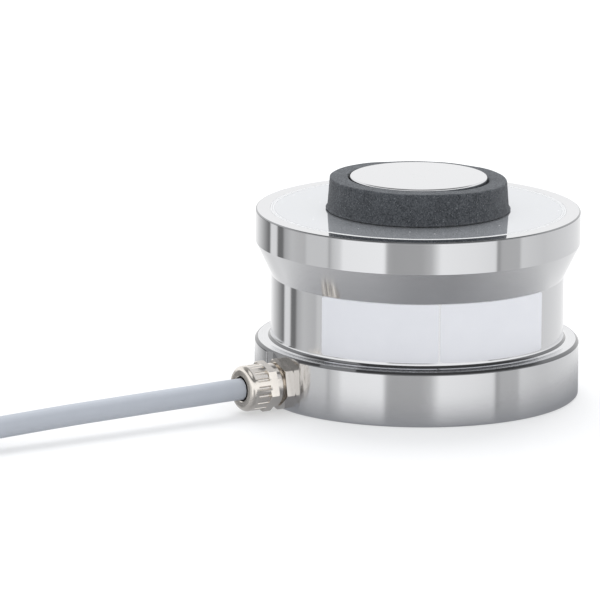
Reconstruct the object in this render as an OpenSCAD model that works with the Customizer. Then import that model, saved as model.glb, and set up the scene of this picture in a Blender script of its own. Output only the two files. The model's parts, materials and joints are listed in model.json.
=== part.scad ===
// Ring torsion load cell: a turned steel spring body with welded covers, bonded ring gauges,
// a wiring board, a foam dust ring, a cable gland and five metres of connecting cable.
// Millimetres. The origin is on the cell's axis at its underside, +Z is up, the gland points to -X.

/* [Measuring body] */
// Outside diameter of the base flange and of the top rim
body_d = 96; // [92:0.5:110]
// Height of the base flange
base_h = 16.3; // [16:0.1:22]
// Step from the flanges' outside in to the neck
neck_step = 4.7; // [4:0.1:6]
// Height of the neck above the base flange
neck_h = 19.3; // [18:0.1:26]
// Height of the cone under the top rim
cone_h = 9.6; // [6:0.2:14]
// Height of the top rim's cylindrical band
rim_h = 9.7; // [8:0.1:16]
// Wall of the support ring behind the neck
support_wall = 4.8; // [4:0.1:6]
// Wall of the base flange round the wiring space
base_wall = 7.5; // [7:0.1:9]
// Radius of the rounded upper edge of the base flange
base_edge_r = 0.9; // [0.6:0.1:2]
// Radius of the hollow fillet at the foot of the neck
neck_fillet_r = 1.7; // [0.5:0.1:2]
// Radius of the rounded upper edge of the top rim
rim_edge_r = 0.4; // [0.2:0.1:1.2]
// Small break on the sharp turned edges
edge_break = 0.4; // [0.2:0.1:0.6]
// Depth of the flat milled on the base flange for the gland
flat_depth = 0.8; // [0.6:0.1:1.2]

/* [Torsion spring] */
// Height of the torsion ring, whose width follows from the gauges on it
ring_h = 26; // [18:0.5:30]
// Radial width of each of the two thin webs that carry the torsion ring
web_w = 3.5; // [2.5:0.1:4.5]
// Thickness of the two webs
web_t = 5; // [3:0.5:8]
// Gap under the hub that stops an overload
hub_gap = 1.2; // [0.6:0.1:2]
// Diameter of the hole that takes the gauge leads through the torsion ring
lead_hole_d = 2.4; // [2.2:0.1:2.8]
// Angle of the lead hole around the axis
lead_hole_angle = 150; // [140:1:220]

/* [Load button] */
// How far the load button stands out over the hub's side
button_step = 0.3; // [0.1:0.1:1]
// Height of the load button above the top cover
button_h = 10.1; // [8.5:0.1:14]
// Diameter of the flat middle of the button's crown
button_flat_d = 12; // [6:1:20]
// Fall of the crown from its middle to its edge
crown_drop = 0.15; // [0.1:0.05:0.5]
// Radius of the button's rounded edge
button_edge_r = 0.5; // [0.3:0.1:1.5]
// Width of the shoulder that carries the top cover's inner edge
shoulder_w = 2; // [1:0.1:3]
// Height of that shoulder
shoulder_h = 2.5; // [1:0.1:4]

/* [Covers] */
// Thickness of both welded covers
cover_t = 1; // [0.6:0.1:1.6]
// Distance from the rim's outside in to the weld seam round the top cover
seam_inset = 4.9; // [4:0.1:6]
// Width of the weld seam
seam_w = 1.2; // [0.8:0.1:1.6]
// Width and depth of the fine grooves at both sides of the seam
seam_groove = 0.15; // [0.1:0.05:0.2]
// Width of the ledge that the bottom cover rests on
bottom_seat_w = 2; // [1:0.1:3]
// How far the bottom cover lies above the standing face
bottom_recess = 0.8; // [0.4:0.1:1.2]
// Gap between a cover and the seat that it is welded into
cover_gap = 0.05; // [0.02:0.01:0.1]

/* [Strain gauges] */
// Thickness of a ring gauge
gauge_t = 0.1; // [0.05:0.01:0.2]
// Width of a ring gauge
gauge_w = 3.3; // [2.5:0.1:3.6]
// Bare margin between a gauge and the torsion ring's edge
gauge_margin = 1; // [0.5:0.1:2]
// Width of the bare band between the inner and the outer gauge
gauge_band = 2.9; // [2.6:0.1:5]
// Opening angle of a ring gauge at its leads
gauge_gap_angle = 10; // [6:1:14]
// Side of a gauge's solder tab
tab_w = 1.2; // [0.8:0.1:1.3]
// How far a solder tab reaches into its gauge
tab_root = 0.2; // [0.1:0.05:0.4]
// Angle from a gauge's end back to its solder tab
tab_back_angle = 3; // [2.5:0.5:5]
// Diameter of a gauge lead
lead_d = 0.5; // [0.3:0.05:0.6]
// Gap between a gauge lead and the wall of the lead hole
lead_gap = 0.03; // [0.02:0.01:0.1]

/* [Wiring board] */
// Thickness of the ring-shaped wiring board
board_t = 1.6; // [1:0.1:2.4]
// How far the wiring board reaches inward of the inner row of leads
board_margin = 2.2; // [1:0.1:4]
// Room between the bottom cover and the wiring board
wiring_h = 11.1; // [10.8:0.1:14]
// Room between the wiring board and the lower gauges
lead_room = 4.4; // [2:0.1:8]
// Distance from the wiring space's wall in to the middle of the board's parts
board_parts_inset = 7.5; // [5:0.1:9]
// Diameter of a core's solder joint
core_joint_d = 2.6; // [2:0.1:3]
// Height of a core's solder joint
core_joint_h = 0.6; // [0.3:0.1:1]
// Angle between neighbouring core joints
core_joint_step = 9; // [7:1:12]
// Diameter of a lead's solder joint
lead_joint_d = 1; // [0.8:0.1:1.1]
// Height of a lead's solder joint
lead_joint_h = 0.5; // [0.3:0.1:0.8]
// Length, width and height of a nickel temperature resistor
nickel_size = [7, 4, 1.2];
// Length, width and height of a bridge resistor
bridge_size = [3.2, 1.6, 0.6];

/* [Foam ring] */
// Radial gap between the load button and the foam ring
foam_gap = 0.6; // [0.3:0.1:1]
// Width of the foam ring over its lower lip
foam_lip_w = 6.4; // [6.2:0.1:9]
// Width of the foam ring just over the lip
foam_foot_w = 5.9; // [5.4:0.1:6.1]
// Width of the foam ring at its upper edge
foam_top_w = 5.3; // [4:0.1:5.3]
// How far the foam ring stays below the button's top
foam_drop = 0.8; // [0.4:0.1:2]
// Height of the lower lip
foam_lip_h = 0.7; // [0.5:0.1:1.4]
// Break on the lip's lower edge
foam_lip_break = 0.3; // [0.1:0.1:0.4]
// Radius of the foam ring's upper edges
foam_edge_r = 0.8; // [0.4:0.1:1.2]

/* [Labels] */
// Length of a label around the neck
label_w = 36.4; // [30:0.2:45]
// Bare margin between the labels and the fillet at the neck's foot
label_margin = 0.1; // [0.1:0.1:3]
// Thickness of a label
label_t = 0.12; // [0.05:0.01:0.2]
// Gap between the two labels
label_gap = 0.45; // [0.3:0.05:2]
// Distance from the neck's upper corner to the labels
label_drop = 0.1; // [0.05:0.05:0.2]
// Direction of the gap between the labels, around the axis
label_angle = -115.2; // [-120:0.2:-110]

/* [Cable gland] */
// Height of the hexagons' lowest corners over the standing face
gland_floor_gap = 0.2; // [0.1:0.1:1]
// Wall from the cap nut's thread out to the flats of both hexagons
hex_wall = 0.9; // [0.7:0.1:1.2]
// Angle of the gland body's hexagon
body_hex_turn = 11; // [0:1:30]
// Angle of the cap nut's hexagon
cap_hex_turn = 16; // [0:1:30]
// Length of the gland body's hexagon
body_hex_l = 2.8; // [2.4:0.1:4]
// Chamfer on the hexagons' corners
hex_chamfer = 0.4; // [0.2:0.1:0.6]
// Wall of the thread in the base flange round the gland's bore
entry_wall = 1.5; // [1.2:0.1:1.6]
// Length of the thread in the base flange
entry_l = 6.4; // [6:0.1:6.5]
// Gap between the cable and the gland body's bore
gland_bore_gap = 0.25; // [0.1:0.05:0.5]
// Wall of the cap nut's thread round the rubber seal
thread_wall = 1.1; // [0.8:0.1:1.5]
// Length of the thread under the cap nut
cap_thread_l = 5.8; // [4:0.1:6]
// Visible gap between the gland body and the cap nut
cap_gap = 0.9; // [0.4:0.1:1.4]
// Length of the cap nut's round collar behind its hexagon
cap_collar_l = 1.8; // [1:0.1:3]
// Length of the cap nut's hexagon
cap_hex_l = 2.8; // [2:0.1:4]
// Length of the cap nut's dome
cap_dome_l = 6.3; // [5.6:0.1:8]
// How far the cap nut's dome stands out over the hexagon's flats
dome_step = 0.25; // [0.1:0.05:0.5]
// Radius of the dome's rounded front edge
cap_edge_r = 1.6; // [1:0.1:2]
// Gap between the cable and the edge of the cap nut's opening
opening_gap = 0.45; // [0.3:0.05:0.8]
// Number of grooves round the dome
flutes = 18; // [6:1:24]
// Radius of a groove
flute_r = 0.55; // [0.3:0.05:0.7]
// Length of a groove
flute_l = 4; // [2:0.1:4.2]
// Wall of the cap nut's front
cap_front_t = 2; // [1.6:0.1:2.6]
// Thickness of the flat gasket behind the gland body
gasket_t = 0.9; // [0.5:0.1:1.2]
// Radial width of the flat gasket
gasket_w = 0.9; // [0.5:0.1:1]
// Distance from the gland body's hexagon to the seat of the rubber seal
seal_seat_l = 0.4; // [0.2:0.1:1]
// Radial wall of the rubber seal
seal_wall = 1.2; // [0.8:0.1:1.6]
// How far the black insert stands out over the seal
insert_step = 0.25; // [0.1:0.05:0.4]
// How far the black insert's lip lies back from the cap nut's face
lip_depth = 0.5; // [0.2:0.1:1]
// Clearance between pieces that slide into each other
slide_gap = 0.05; // [0.02:0.01:0.1]

/* [Cable] */
// Diameter of the cable's sheath
cable_d = 6.5; // [6:0.1:6.6]
// Diameter of an insulated core
core_d = 1.3; // [1:0.1:1.5]
// Gap between neighbouring cores in the cable
core_gap = 0.25; // [0.1:0.05:0.5]
// Length of sheath inside the gland, counted back from the flat
cable_inside = 4.2; // [3:0.1:4.5]
// How far the moulding compound stays inside the gland body's end
potting_recess = 0.4; // [0.2:0.1:0.8]
// Length of a core from the moulding compound to its first bend
core_straight = 0.5; // [0.2:0.1:1]
// Number of turns side by side in the coil
coil_columns = 4; // [3:1:5]
// Number of layers of turns in the coil
coil_layers = 5; // [3:1:6]
// Gap between neighbouring turns
turn_gap = 0.1; // [0:0.05:0.3]
// Diameter of the coil at the middle of its turns
coil_mean_d = 76; // [70:1:84]
// Thickness of a cable tie
tie_t = 1; // [0.8:0.1:1.6]
// Width of a cable tie
tie_w = 6; // [4:0.5:8]
// Gap between a tie and the coil's inside
tie_inner_gap = 0.25; // [0.25:0.05:0.5]
// Gap between a tie and the coil's outside
tie_outer_gap = 0.05; // [0.05:0.05:0.3]
// Length of a cable tie's head
tie_head_l = 4; // [3:0.5:5]
// Height of a cable tie's head
tie_head_h = 6; // [4:0.5:8]
// Wall of the shrunk sleeve on the stripped end
sleeve_wall = 0.4; // [0.2:0.1:0.6]
// Length of the shrunk sleeve
sleeve_l = 14; // [10:1:20]
// Length of the sleeve that grips the sheath
sleeve_grip = 5; // [3:0.5:8]
// Diameter of a wire-end ferrule
ferrule_d = 1.1; // [0.8:0.1:1.2]
// Length of a wire-end ferrule
ferrule_l = 7; // [5:0.5:10]
// Diameter of a ferrule's plastic collar
collar_d = 2; // [1.6:0.1:2.2]
// Length of a ferrule's plastic collar
collar_l = 4; // [3:0.5:6]

/* [Hidden] */
$fn = 96;

// Radii of the turned body, from the outside in
body_r = body_d / 2;
neck_r = body_r - neck_step;
inner_r = neck_r - support_wall;
wiring_r = body_r - base_wall;
bottom_cover_r = wiring_r + bottom_seat_w;
ring_w = 2 * (gauge_margin + gauge_w) + gauge_band;
ring_outer_r = inner_r - web_w;
ring_inner_r = ring_outer_r - ring_w;
hub_r = ring_inner_r - web_w;
button_r = hub_r + button_step;

// Heights of the body's outside, from the standing face up
cone_z = base_h + neck_h;
rim_z = cone_z + cone_h;
top_z = rim_z + rim_h;
button_z = top_z + button_h;
cover_ledge_z = top_z - cover_t;

// Heights of the inside, from the bottom cover up
floor_cover_z = bottom_recess + cover_t;
board_z = floor_cover_z + wiring_h;
board_top_z = board_z + board_t;
ring_z = board_top_z + lead_room + gauge_t;
ring_top_z = ring_z + ring_h;
web_z = ring_z + (ring_h - web_t) / 2;
web_top_z = web_z + web_t;
hub_z = floor_cover_z + hub_gap;

// The welded top cover reaches to the middle of its seam
top_cover_r = body_r - seam_inset;
shoulder_r = button_r + shoulder_w;

// Ring gauges lie at the torsion ring's two edges, with the leads in the band between them
lead_r = (ring_inner_r + ring_outer_r) / 2;
inner_gauge_r = ring_inner_r + gauge_margin;
outer_gauge_r = ring_outer_r - gauge_margin - gauge_w;
inner_tab_r = inner_gauge_r + gauge_w + tab_w / 2 - tab_root;
outer_tab_r = outer_gauge_r - tab_w / 2 + tab_root;
tab_angle = gauge_gap_angle / 2 + tab_back_angle;
lead_spread = (lead_hole_d / 2 - lead_d / 2 - lead_gap) / sqrt(2);
board_inner_r = inner_tab_r - board_margin;
board_parts_r = wiring_r - board_parts_inset;

foam_h = button_h - foam_drop;
label_h = neck_h - neck_fillet_r - label_margin - label_drop;

// The gland's diameters follow from the cable, through the seal, the thread and the hexagon
gland_bore_d = cable_d + 2 * gland_bore_gap;
entry_d = gland_bore_d + 2 * entry_wall;
seal_bore_r = cable_d / 2 + slide_gap;
seal_outer_r = seal_bore_r + seal_wall;
insert_r = seal_outer_r + insert_step;
cap_thread_d = 2 * (seal_outer_r + thread_wall);
hex_af = cap_thread_d + 2 * hex_wall;
hex_corner_r = hex_af / 2 / cos(30);
cap_dome_d = hex_af + 2 * dome_step;
cap_opening_d = cable_d + 2 * opening_gap;
lip_r = cap_opening_d / 2 - slide_gap;

// The gland stands on the milled flat
flat_x = body_r - flat_depth;
gland_z = hex_corner_r + gland_floor_gap;
cap_z = body_hex_l + cap_gap;
cap_hex_z = cap_z + cap_collar_l;
dome_z = cap_hex_z + cap_hex_l;
cap_end_z = dome_z + cap_dome_l;
cap_inner_z = cap_end_z - cap_front_t;
thread_end_z = body_hex_l + cap_thread_l;
seal_seat_z = body_hex_l + seal_seat_l;
potting_l = entry_l - cable_inside - potting_recess;

// Places of the four cores in the cable, as [sideways, up] in units of the core's shift
core_places = [[-1, 1], [1, 1], [-1, -1], [1, -1]];
core_shift = (core_d + core_gap) / 2;
core_joint_order = [2, 1, 3, 0];
cable_start_x = -flat_x + cable_inside;

// The cable's own route. Its coil stands beside the cable, which runs into the lowest outer turn
cable_points = [
    [cable_start_x, 0, gland_z], [-52, 0, gland_z], [-62, 0, gland_z], [-75, 0, 7.6], [-90, 0, 7.5],
    [-105, 0, 7.3], [-120, 0, 7.1], [-135, 0, 6.7], [-150, 0, 6.2], [-164, 0, 5.5]
];
coil_x = -190;
coil_y = 48;
tie_angles = [-30, -150];
turn_pitch = cable_d + turn_gap;
coil_band = (coil_columns - 1) * turn_pitch + cable_d;
coil_inner_r = coil_mean_d / 2 - coil_band / 2;
coil_outer_r = coil_mean_d / 2 + coil_band / 2;
coil_h = coil_layers * turn_pitch;
coil_top_z = tie_t + coil_h;

// The tail lies on the coil: a point of it, and how far the cable's underside is over the coil there
function on_coil(x, y, lift) = [x, y, coil_top_z + cable_d / 2 + lift];
tail_points = [
    on_coil(-211, 69, 0.05), on_coil(-204, 78, 0.05), on_coil(-193, 84, 0.15),
    on_coil(-182, 85.5, 0.45), on_coil(-172, 83.5, 0.55)
];

// The stripped end: each core runs from the sleeve over the coil to its ferrule
function over_coil(x, y, height) = [x, y, coil_top_z + height];
tail_end = tail_points[len(tail_points) - 1];
tail_way = unit(tail_end - tail_points[len(tail_points) - 2]);
tail_side = unit(cross([0, 0, 1], tail_way));
sleeve_end = tail_end + (sleeve_l - sleeve_grip) * tail_way;
end_core_bends = [
    over_coil(-156.5, 76.5, 1.6), over_coil(-155, 82, 1.4),
    over_coil(-158.5, 74, 1.4), over_coil(-155, 79, 1.4)
];
end_core_tips = [
    over_coil(-150.5, 66, 1.2), over_coil(-148.5, 76, 1.2),
    over_coil(-154, 62.5, 1.2), over_coil(-148, 71, 1.2)
];
shield_start = sleeve_end - 2.6 * tail_side;
shield_bend = over_coil(-161, 73, 1.4);
shield_tip = over_coil(-158, 61, 1.2);
sleeve_d = cable_d + 2 * sleeve_wall;

function unit(v) = v / norm(v);

// Points of an arc about a centre, in a radius and height plane
function arc(r, z, radius, from, to, steps = 6) =
    [for (i = [0 : steps]) let (a = from + (to - from) * i / steps) [r + radius * cos(a), z + radius * sin(a)]];

// A place at a radius, an angle round the axis and a height
function polar(r, angle, z) = [r * cos(angle), r * sin(angle), z];

// One ring of a tube's corners, square to its direction. It never runs along the level vector
function tube_ring(point, way, radius, sides, level) =
    let (side = unit(cross(way, level)), up = cross(side, way))
    [for (k = [0 : sides - 1]) point + radius * (cos(360 * k / sides) * side + sin(360 * k / sides) * up)];

function tube_way(points, i) =
    let (last = len(points) - 1)
    unit(points[min(i + 1, last)] - points[max(i - 1, 0)]);

// A round tube swept along points
module swept_tube(points, d, sides = 12, level = [0, 0, 1]) {
    last = len(points) - 1;
    rings = [for (i = [0 : last]) each tube_ring(points[i], tube_way(points, i), d / 2, sides, level)];
    walls = [for (i = [0 : last - 1], k = [0 : sides - 1])
        let (a = i * sides + k, b = i * sides + (k + 1) % sides)
        each [[a, b, b + sides], [a, b + sides, a + sides]]];
    ends = [[for (k = [sides - 1 : -1 : 0]) k], [for (k = [0 : sides - 1]) last * sides + k]];
    polyhedron(rings, concat(walls, ends));
}

module rod(a, b, d) {
    way = b - a;
    translate(a)
        rotate([0, acos(way[2] / norm(way)), atan2(way[1], way[0])])
            cylinder(d = d, h = norm(way));
}

module ring(inner, outer, h) {
    difference() {
        cylinder(r = outer, h = h);
        translate([0, 0, -1])
            cylinder(r = inner, h = h + 2);
    }
}

// Local +Z becomes the gland's axis, out of the milled flat
module on_gland_axis() {
    translate([-flat_x, 0, gland_z])
        rotate([0, -90, 0])
            children();
}

// The measuring body is one turned piece: support ring, thin webs, torsion ring, hub and button
module body_section() {
    crown_r = button_r - button_edge_r;
    flat_r = button_flat_d / 2;
    crown = [for (i = [4 : -1 : 0]) let (r = flat_r + (crown_r - flat_r) * i / 4)
        [r, button_z - crown_drop * pow((r - flat_r) / (crown_r - flat_r), 2)]];
    polygon(concat(
        [[0, hub_z], [hub_r - edge_break, hub_z], [hub_r, hub_z + edge_break], [hub_r, web_z]],
        [[ring_inner_r, web_z], [ring_inner_r, ring_z], [ring_outer_r, ring_z], [ring_outer_r, web_z]],
        [[inner_r, web_z], [inner_r, board_top_z], [wiring_r, board_top_z], [wiring_r, floor_cover_z]],
        [[bottom_cover_r, floor_cover_z], [bottom_cover_r, 0], [body_r - edge_break, 0], [body_r, edge_break]],
        arc(body_r - base_edge_r, base_h - base_edge_r, base_edge_r, 0, 90),
        arc(neck_r + neck_fillet_r, base_h + neck_fillet_r, neck_fillet_r, 270, 180),
        [[neck_r, cone_z], [body_r - edge_break / 2, rim_z - edge_break / 2], [body_r, rim_z + edge_break / 2]],
        arc(body_r - rim_edge_r, top_z - rim_edge_r, rim_edge_r, 0, 90),
        [[top_cover_r + seam_w / 2 + seam_groove / 2, top_z]],
        [[top_cover_r + seam_w / 2, top_z - seam_groove]],
        [[top_cover_r + seam_w / 2 - seam_groove / 2, top_z]],
        [[top_cover_r, top_z], [top_cover_r, cover_ledge_z], [inner_r, cover_ledge_z], [inner_r, web_top_z]],
        [[ring_outer_r, web_top_z], [ring_outer_r, ring_top_z], [ring_inner_r, ring_top_z]],
        [[ring_inner_r, web_top_z], [hub_r, web_top_z], [hub_r, cover_ledge_z - shoulder_h]],
        [[shoulder_r, cover_ledge_z - shoulder_h], [shoulder_r, cover_ledge_z], [button_r, cover_ledge_z]],
        arc(button_r - button_edge_r, button_z - crown_drop - button_edge_r, button_edge_r, 0, 90),
        [for (i = [1 : 4]) crown[i]],
        [[0, button_z]]
    ));
}

module measuring_body() {
    color("silver")
        difference() {
            rotate_extrude()
                body_section();
            // The milled flat for the gland
            translate([-flat_x - body_r, -body_r, -1])
                cube([body_r, body_d, base_h + 2]);
            on_gland_axis()
                translate([0, 0, -(body_r - wiring_r) - 2])
                    cylinder(d = entry_d, h = body_r - wiring_r + 4);
            translate(polar(lead_r, lead_hole_angle, ring_z - 1))
                cylinder(d = lead_hole_d, h = ring_h + 2);
        }
}

// The top cover is a thin ring, welded to the rim outside and to the hub's shoulder inside
module top_cover() {
    outer = top_cover_r - cover_gap;
    groove_r = top_cover_r - seam_w / 2;
    color("gainsboro")
        rotate_extrude()
            polygon([
                [button_r + cover_gap, cover_ledge_z], [outer, cover_ledge_z], [outer, top_z],
                [groove_r + seam_groove / 2, top_z], [groove_r, top_z - seam_groove],
                [groove_r - seam_groove / 2, top_z], [button_r + cover_gap, top_z]
            ]);
}

module bottom_cover() {
    color("gainsboro")
        translate([0, 0, bottom_recess])
            cylinder(r = bottom_cover_r - cover_gap, h = cover_t);
}

// A cut foam ring round the button keeps dust off the cover's inner weld
module foam_ring() {
    inner = button_r + foam_gap;
    lip = inner + foam_lip_w;
    foot = inner + foam_foot_w;
    upper = inner + foam_top_w;
    color("dimgray")
        translate([0, 0, top_z])
            rotate_extrude()
                polygon(concat(
                    [[inner, 0], [lip - foam_lip_break, 0], [lip, foam_lip_break], [foot, foam_lip_h]],
                    arc(upper - foam_edge_r, foam_h - foam_edge_r, foam_edge_r, 0, 90, 4),
                    arc(inner + foam_edge_r, foam_h - foam_edge_r, foam_edge_r, 90, 180, 4)
                ));
}

// A label is a thin curved sheet on the neck, under the cone's corner
module label(start) {
    color("whitesmoke")
        rotate([0, 0, start])
            rotate_extrude(angle = label_w / neck_r * 180 / PI)
                translate([neck_r, cone_z - label_drop - label_h])
                    square([label_t, label_h]);
}

module label_left() {
    label(label_angle - (label_gap / 2 + label_w) / neck_r * 180 / PI);
}

module label_right() {
    label(label_angle + label_gap / 2 / neck_r * 180 / PI);
}

// A ring gauge is open at the lead hole and has a solder tab at each side of it
module ring_gauge(inner, z, tab_r) {
    color("peru")
        translate([0, 0, z])
            rotate([0, 0, lead_hole_angle])
                union() {
                    difference() {
                        ring(inner, inner + gauge_w, gauge_t);
                        rotate([0, 0, -gauge_gap_angle / 2])
                            translate([0, 0, -gauge_t])
                                rotate_extrude(angle = gauge_gap_angle)
                                    square([2 * inner, 3 * gauge_t]);
                    }
                    for (side = [-1, 1])
                        rotate([0, 0, side * tab_angle])
                            translate([tab_r - tab_w / 2, -tab_w / 2, 0])
                                cube([tab_w, tab_w, gauge_t]);
                }
}

module upper_inner_gauge() {
    ring_gauge(inner_gauge_r, ring_top_z, inner_tab_r);
}

module upper_outer_gauge() {
    ring_gauge(outer_gauge_r, ring_top_z, outer_tab_r);
}

module lower_inner_gauge() {
    ring_gauge(inner_gauge_r, ring_z - gauge_t, inner_tab_r);
}

module lower_outer_gauge() {
    ring_gauge(outer_gauge_r, ring_z - gauge_t, outer_tab_r);
}

// Where a lead of a gauge begins, and where an upper lead goes down its hole
function lead_start(i, z) =
    polar(i < 2 ? inner_tab_r : outer_tab_r, lead_hole_angle + (i % 2 == 0 ? -1 : 1) * tab_angle, z);

function lead_drop(i, z) =
    polar(lead_r, lead_hole_angle, z)
    + (i < 2 ? -1 : 1) * lead_spread * polar(1, lead_hole_angle, 0)
    + (i % 2 == 0 ? -1 : 1) * lead_spread * polar(1, lead_hole_angle + 90, 0);

module upper_gauge_leads() {
    z = ring_top_z + gauge_t + lead_d / 2;
    color("firebrick")
        for (i = [0 : 3])
            swept_tube(
                [lead_start(i, z), lead_drop(i, z), lead_drop(i, z - lead_d), lead_drop(i, board_top_z)],
                lead_d, 8, polar(1, lead_hole_angle, 0.4)
            );
}

module lower_gauge_leads() {
    color("firebrick")
        for (i = [0 : 3])
            rod(lead_start(i, board_top_z), lead_start(i, ring_z - gauge_t), lead_d);
}

module terminal_board() {
    color("darkgreen")
        translate([0, 0, board_z])
            ring(board_inner_r, wiring_r - slide_gap, board_t);
}

// Solder round the foot of each lower lead
module lead_solder_joints() {
    color("lightgray")
        for (i = [0 : 3])
            translate(lead_start(i, board_top_z))
                difference() {
                    cylinder(d1 = lead_joint_d, d2 = lead_d + 0.2, h = lead_joint_h);
                    translate([0, 0, -1])
                        cylinder(d = lead_d + 0.02, h = lead_joint_h + 2);
                }
}

function core_joint(i) = polar(board_parts_r, 180 + (core_joint_order[i] - 1.5) * core_joint_step, board_z);

module core_solder_joints() {
    color("lightgray")
        for (i = [0 : 3])
            translate(core_joint(i) - [0, 0, core_joint_h])
                cylinder(d = core_joint_d, h = core_joint_h);
}

module board_part(angle, size) {
    rotate([0, 0, angle])
        translate([board_parts_r - size[1] / 2, -size[0] / 2, board_z - size[2]])
            cube([size[1], size[0], size[2]]);
}

module nickel_resistors() {
    color("tan")
        for (angle = [60, -60])
            board_part(angle, nickel_size);
}

module bridge_resistors() {
    color("black")
        for (angle = [100, 115, -100, -115])
            board_part(angle, bridge_size);
}

// A hexagon with turned corners at its outer end
module gland_hexagon(l, turn) {
    chamfer_r = hex_corner_r - hex_chamfer;
    chamfer_l = hex_chamfer / 2;
    intersection() {
        rotate([0, 0, turn])
            cylinder(r = hex_corner_r, h = l, $fn = 6);
        rotate_extrude()
            polygon([
                [0, 0], [chamfer_r, 0], [hex_corner_r, chamfer_l],
                [hex_corner_r, l - chamfer_l], [chamfer_r, l], [0, l]
            ]);
    }
}

module gland_body() {
    gasket_r = entry_d / 2 + gasket_w;
    color("wheat")
        on_gland_axis()
            difference() {
                union() {
                    gland_hexagon(body_hex_l, body_hex_turn);
                    translate([0, 0, -entry_l])
                        cylinder(d = entry_d - 2 * slide_gap, h = entry_l + 1);
                    cylinder(d = cap_thread_d, h = thread_end_z);
                }
                translate([0, 0, -entry_l - 1])
                    cylinder(d = gland_bore_d, h = entry_l + thread_end_z + 2);
                translate([0, 0, seal_seat_z])
                    cylinder(r = seal_outer_r + slide_gap, h = thread_end_z);
                translate([0, 0, -0.01])
                    ring(entry_d / 2 - slide_gap, gasket_r, gasket_t + 0.01);
            }
}

module gland_gasket() {
    color("black")
        on_gland_axis()
            ring(entry_d / 2, entry_d / 2 + gasket_w, gasket_t);
}

module gland_seal() {
    color("black")
        on_gland_axis()
            translate([0, 0, seal_seat_z])
                ring(seal_bore_r, seal_outer_r, thread_end_z - seal_seat_z);
}

// The insert's slotted ring presses the seal on the cable, and its lip shows in the cap's opening
module clamping_insert() {
    body_l = cap_inner_z - thread_end_z - slide_gap;
    color("black")
        on_gland_axis()
            translate([0, 0, thread_end_z])
                difference() {
                    union() {
                        ring(seal_bore_r, insert_r, body_l);
                        ring(seal_bore_r, lip_r, cap_end_z - lip_depth - thread_end_z);
                    }
                    for (i = [0 : 7])
                        rotate([0, 0, 45 * i])
                            translate([seal_bore_r + 0.5, -0.3, -1])
                                cube([seal_wall + 1, 0.6, body_l]);
                }
}

module cap_nut() {
    dome_r = cap_dome_d / 2;
    color("wheat")
        on_gland_axis()
            difference() {
                union() {
                    translate([0, 0, cap_z])
                        cylinder(d = hex_af, h = cap_collar_l + 0.5);
                    translate([0, 0, cap_hex_z])
                        gland_hexagon(cap_hex_l, cap_hex_turn);
                    rotate_extrude()
                        polygon(concat(
                            [[0, dome_z - 0.5], [dome_r, dome_z - 0.5]],
                            arc(dome_r - cap_edge_r, cap_end_z - cap_edge_r, cap_edge_r, 0, 90),
                            [[0, cap_end_z]]
                        ));
                }
                translate([0, 0, cap_z - 1])
                    cylinder(d = cap_thread_d + 2 * slide_gap, h = thread_end_z - cap_z + 1.2);
                translate([0, 0, cap_z])
                    cylinder(r = insert_r + slide_gap, h = cap_inner_z - cap_z);
                translate([0, 0, cap_z])
                    cylinder(d = cap_opening_d, h = cap_end_z);
                for (i = [0 : flutes - 1])
                    rotate([0, 0, 360 / flutes * i])
                        translate([dome_r + flute_r / 4, 0, dome_z])
                            cylinder(r = flute_r, h = flute_l);
            }
}

// Moulding compound closes the gland behind the cable's sheath
module entry_potting() {
    color("saddlebrown")
        on_gland_axis()
            translate([0, 0, -cable_inside - potting_l])
                difference() {
                    cylinder(d = gland_bore_d, h = potting_l);
                    for (place = core_places)
                        translate([core_shift * place[1], core_shift * place[0], -1])
                            cylinder(d = core_d + 0.02, h = potting_l + 2);
                }
}

// A core goes out of the sheath, through the potting and up to its joint under the board
module inner_core(i) {
    place = core_places[i];
    y = core_shift * place[0];
    z = gland_z + core_shift * place[1];
    joint = core_joint(i) - [0, 0, core_joint_h];
    swept_tube([
        [cable_start_x, y, z], [cable_start_x + potting_l + core_straight, y, z],
        joint - [0.8, 0, 2.5], joint - [0, 0, 1.5], joint
    ], core_d, 8, [0, 1, 0]);
}

module inner_core_black() {
    color("black")
        inner_core(0);
}

module inner_core_blue() {
    color("royalblue")
        inner_core(1);
}

module inner_core_white() {
    color("white")
        inner_core(2);
}

module inner_core_red() {
    color("red")
        inner_core(3);
}

module cable() {
    color("lightsteelblue")
        swept_tube(cable_points, cable_d);
}

module cable_coil() {
    color("lightsteelblue")
        translate([coil_x, coil_y, tie_t])
            rotate_extrude()
                translate([coil_inner_r, 0])
                    square([coil_band, coil_h]);
}

module cable_tail() {
    color("lightsteelblue")
        swept_tube(tail_points, cable_d);
}

// Two plastic ties go round the bundle of turns, and the coil stands on them
module coil_tie(angle) {
    inner = coil_inner_r - tie_inner_gap;
    outer = coil_outer_r + tie_outer_gap;
    tie_head_w = tie_w + 1;
    translate([coil_x, coil_y, 0])
        rotate([90, 0, angle])
            linear_extrude(tie_w, center = true)
                difference() {
                    translate([inner - tie_t, 0])
                        square([outer - inner + 2 * tie_t, coil_h + 2 * tie_t]);
                    translate([inner, tie_t])
                        square([outer - inner, coil_h]);
                }
    translate([coil_x, coil_y, 0])
        rotate([0, 0, angle])
            translate([outer + tie_t, -tie_head_w / 2, coil_top_z / 2])
                cube([tie_head_l, tie_head_w, tie_head_h]);
}

module coil_ties() {
    color("black")
        for (angle = tie_angles)
            coil_tie(angle);
}

// Local +Z becomes the direction of the cable's stripped end
module on_tail_axis() {
    translate(tail_end)
        rotate([0, acos(tail_way[2]), atan2(tail_way[1], tail_way[0])])
            children();
}

module end_sleeve() {
    color("black")
        on_tail_axis()
            difference() {
                translate([0, 0, -sleeve_grip])
                    cylinder(d = sleeve_d, h = sleeve_l);
                translate([0, 0, -sleeve_grip - 1])
                    cylinder(d = cable_d + 2 * slide_gap, h = sleeve_grip + 1);
            }
}

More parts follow.
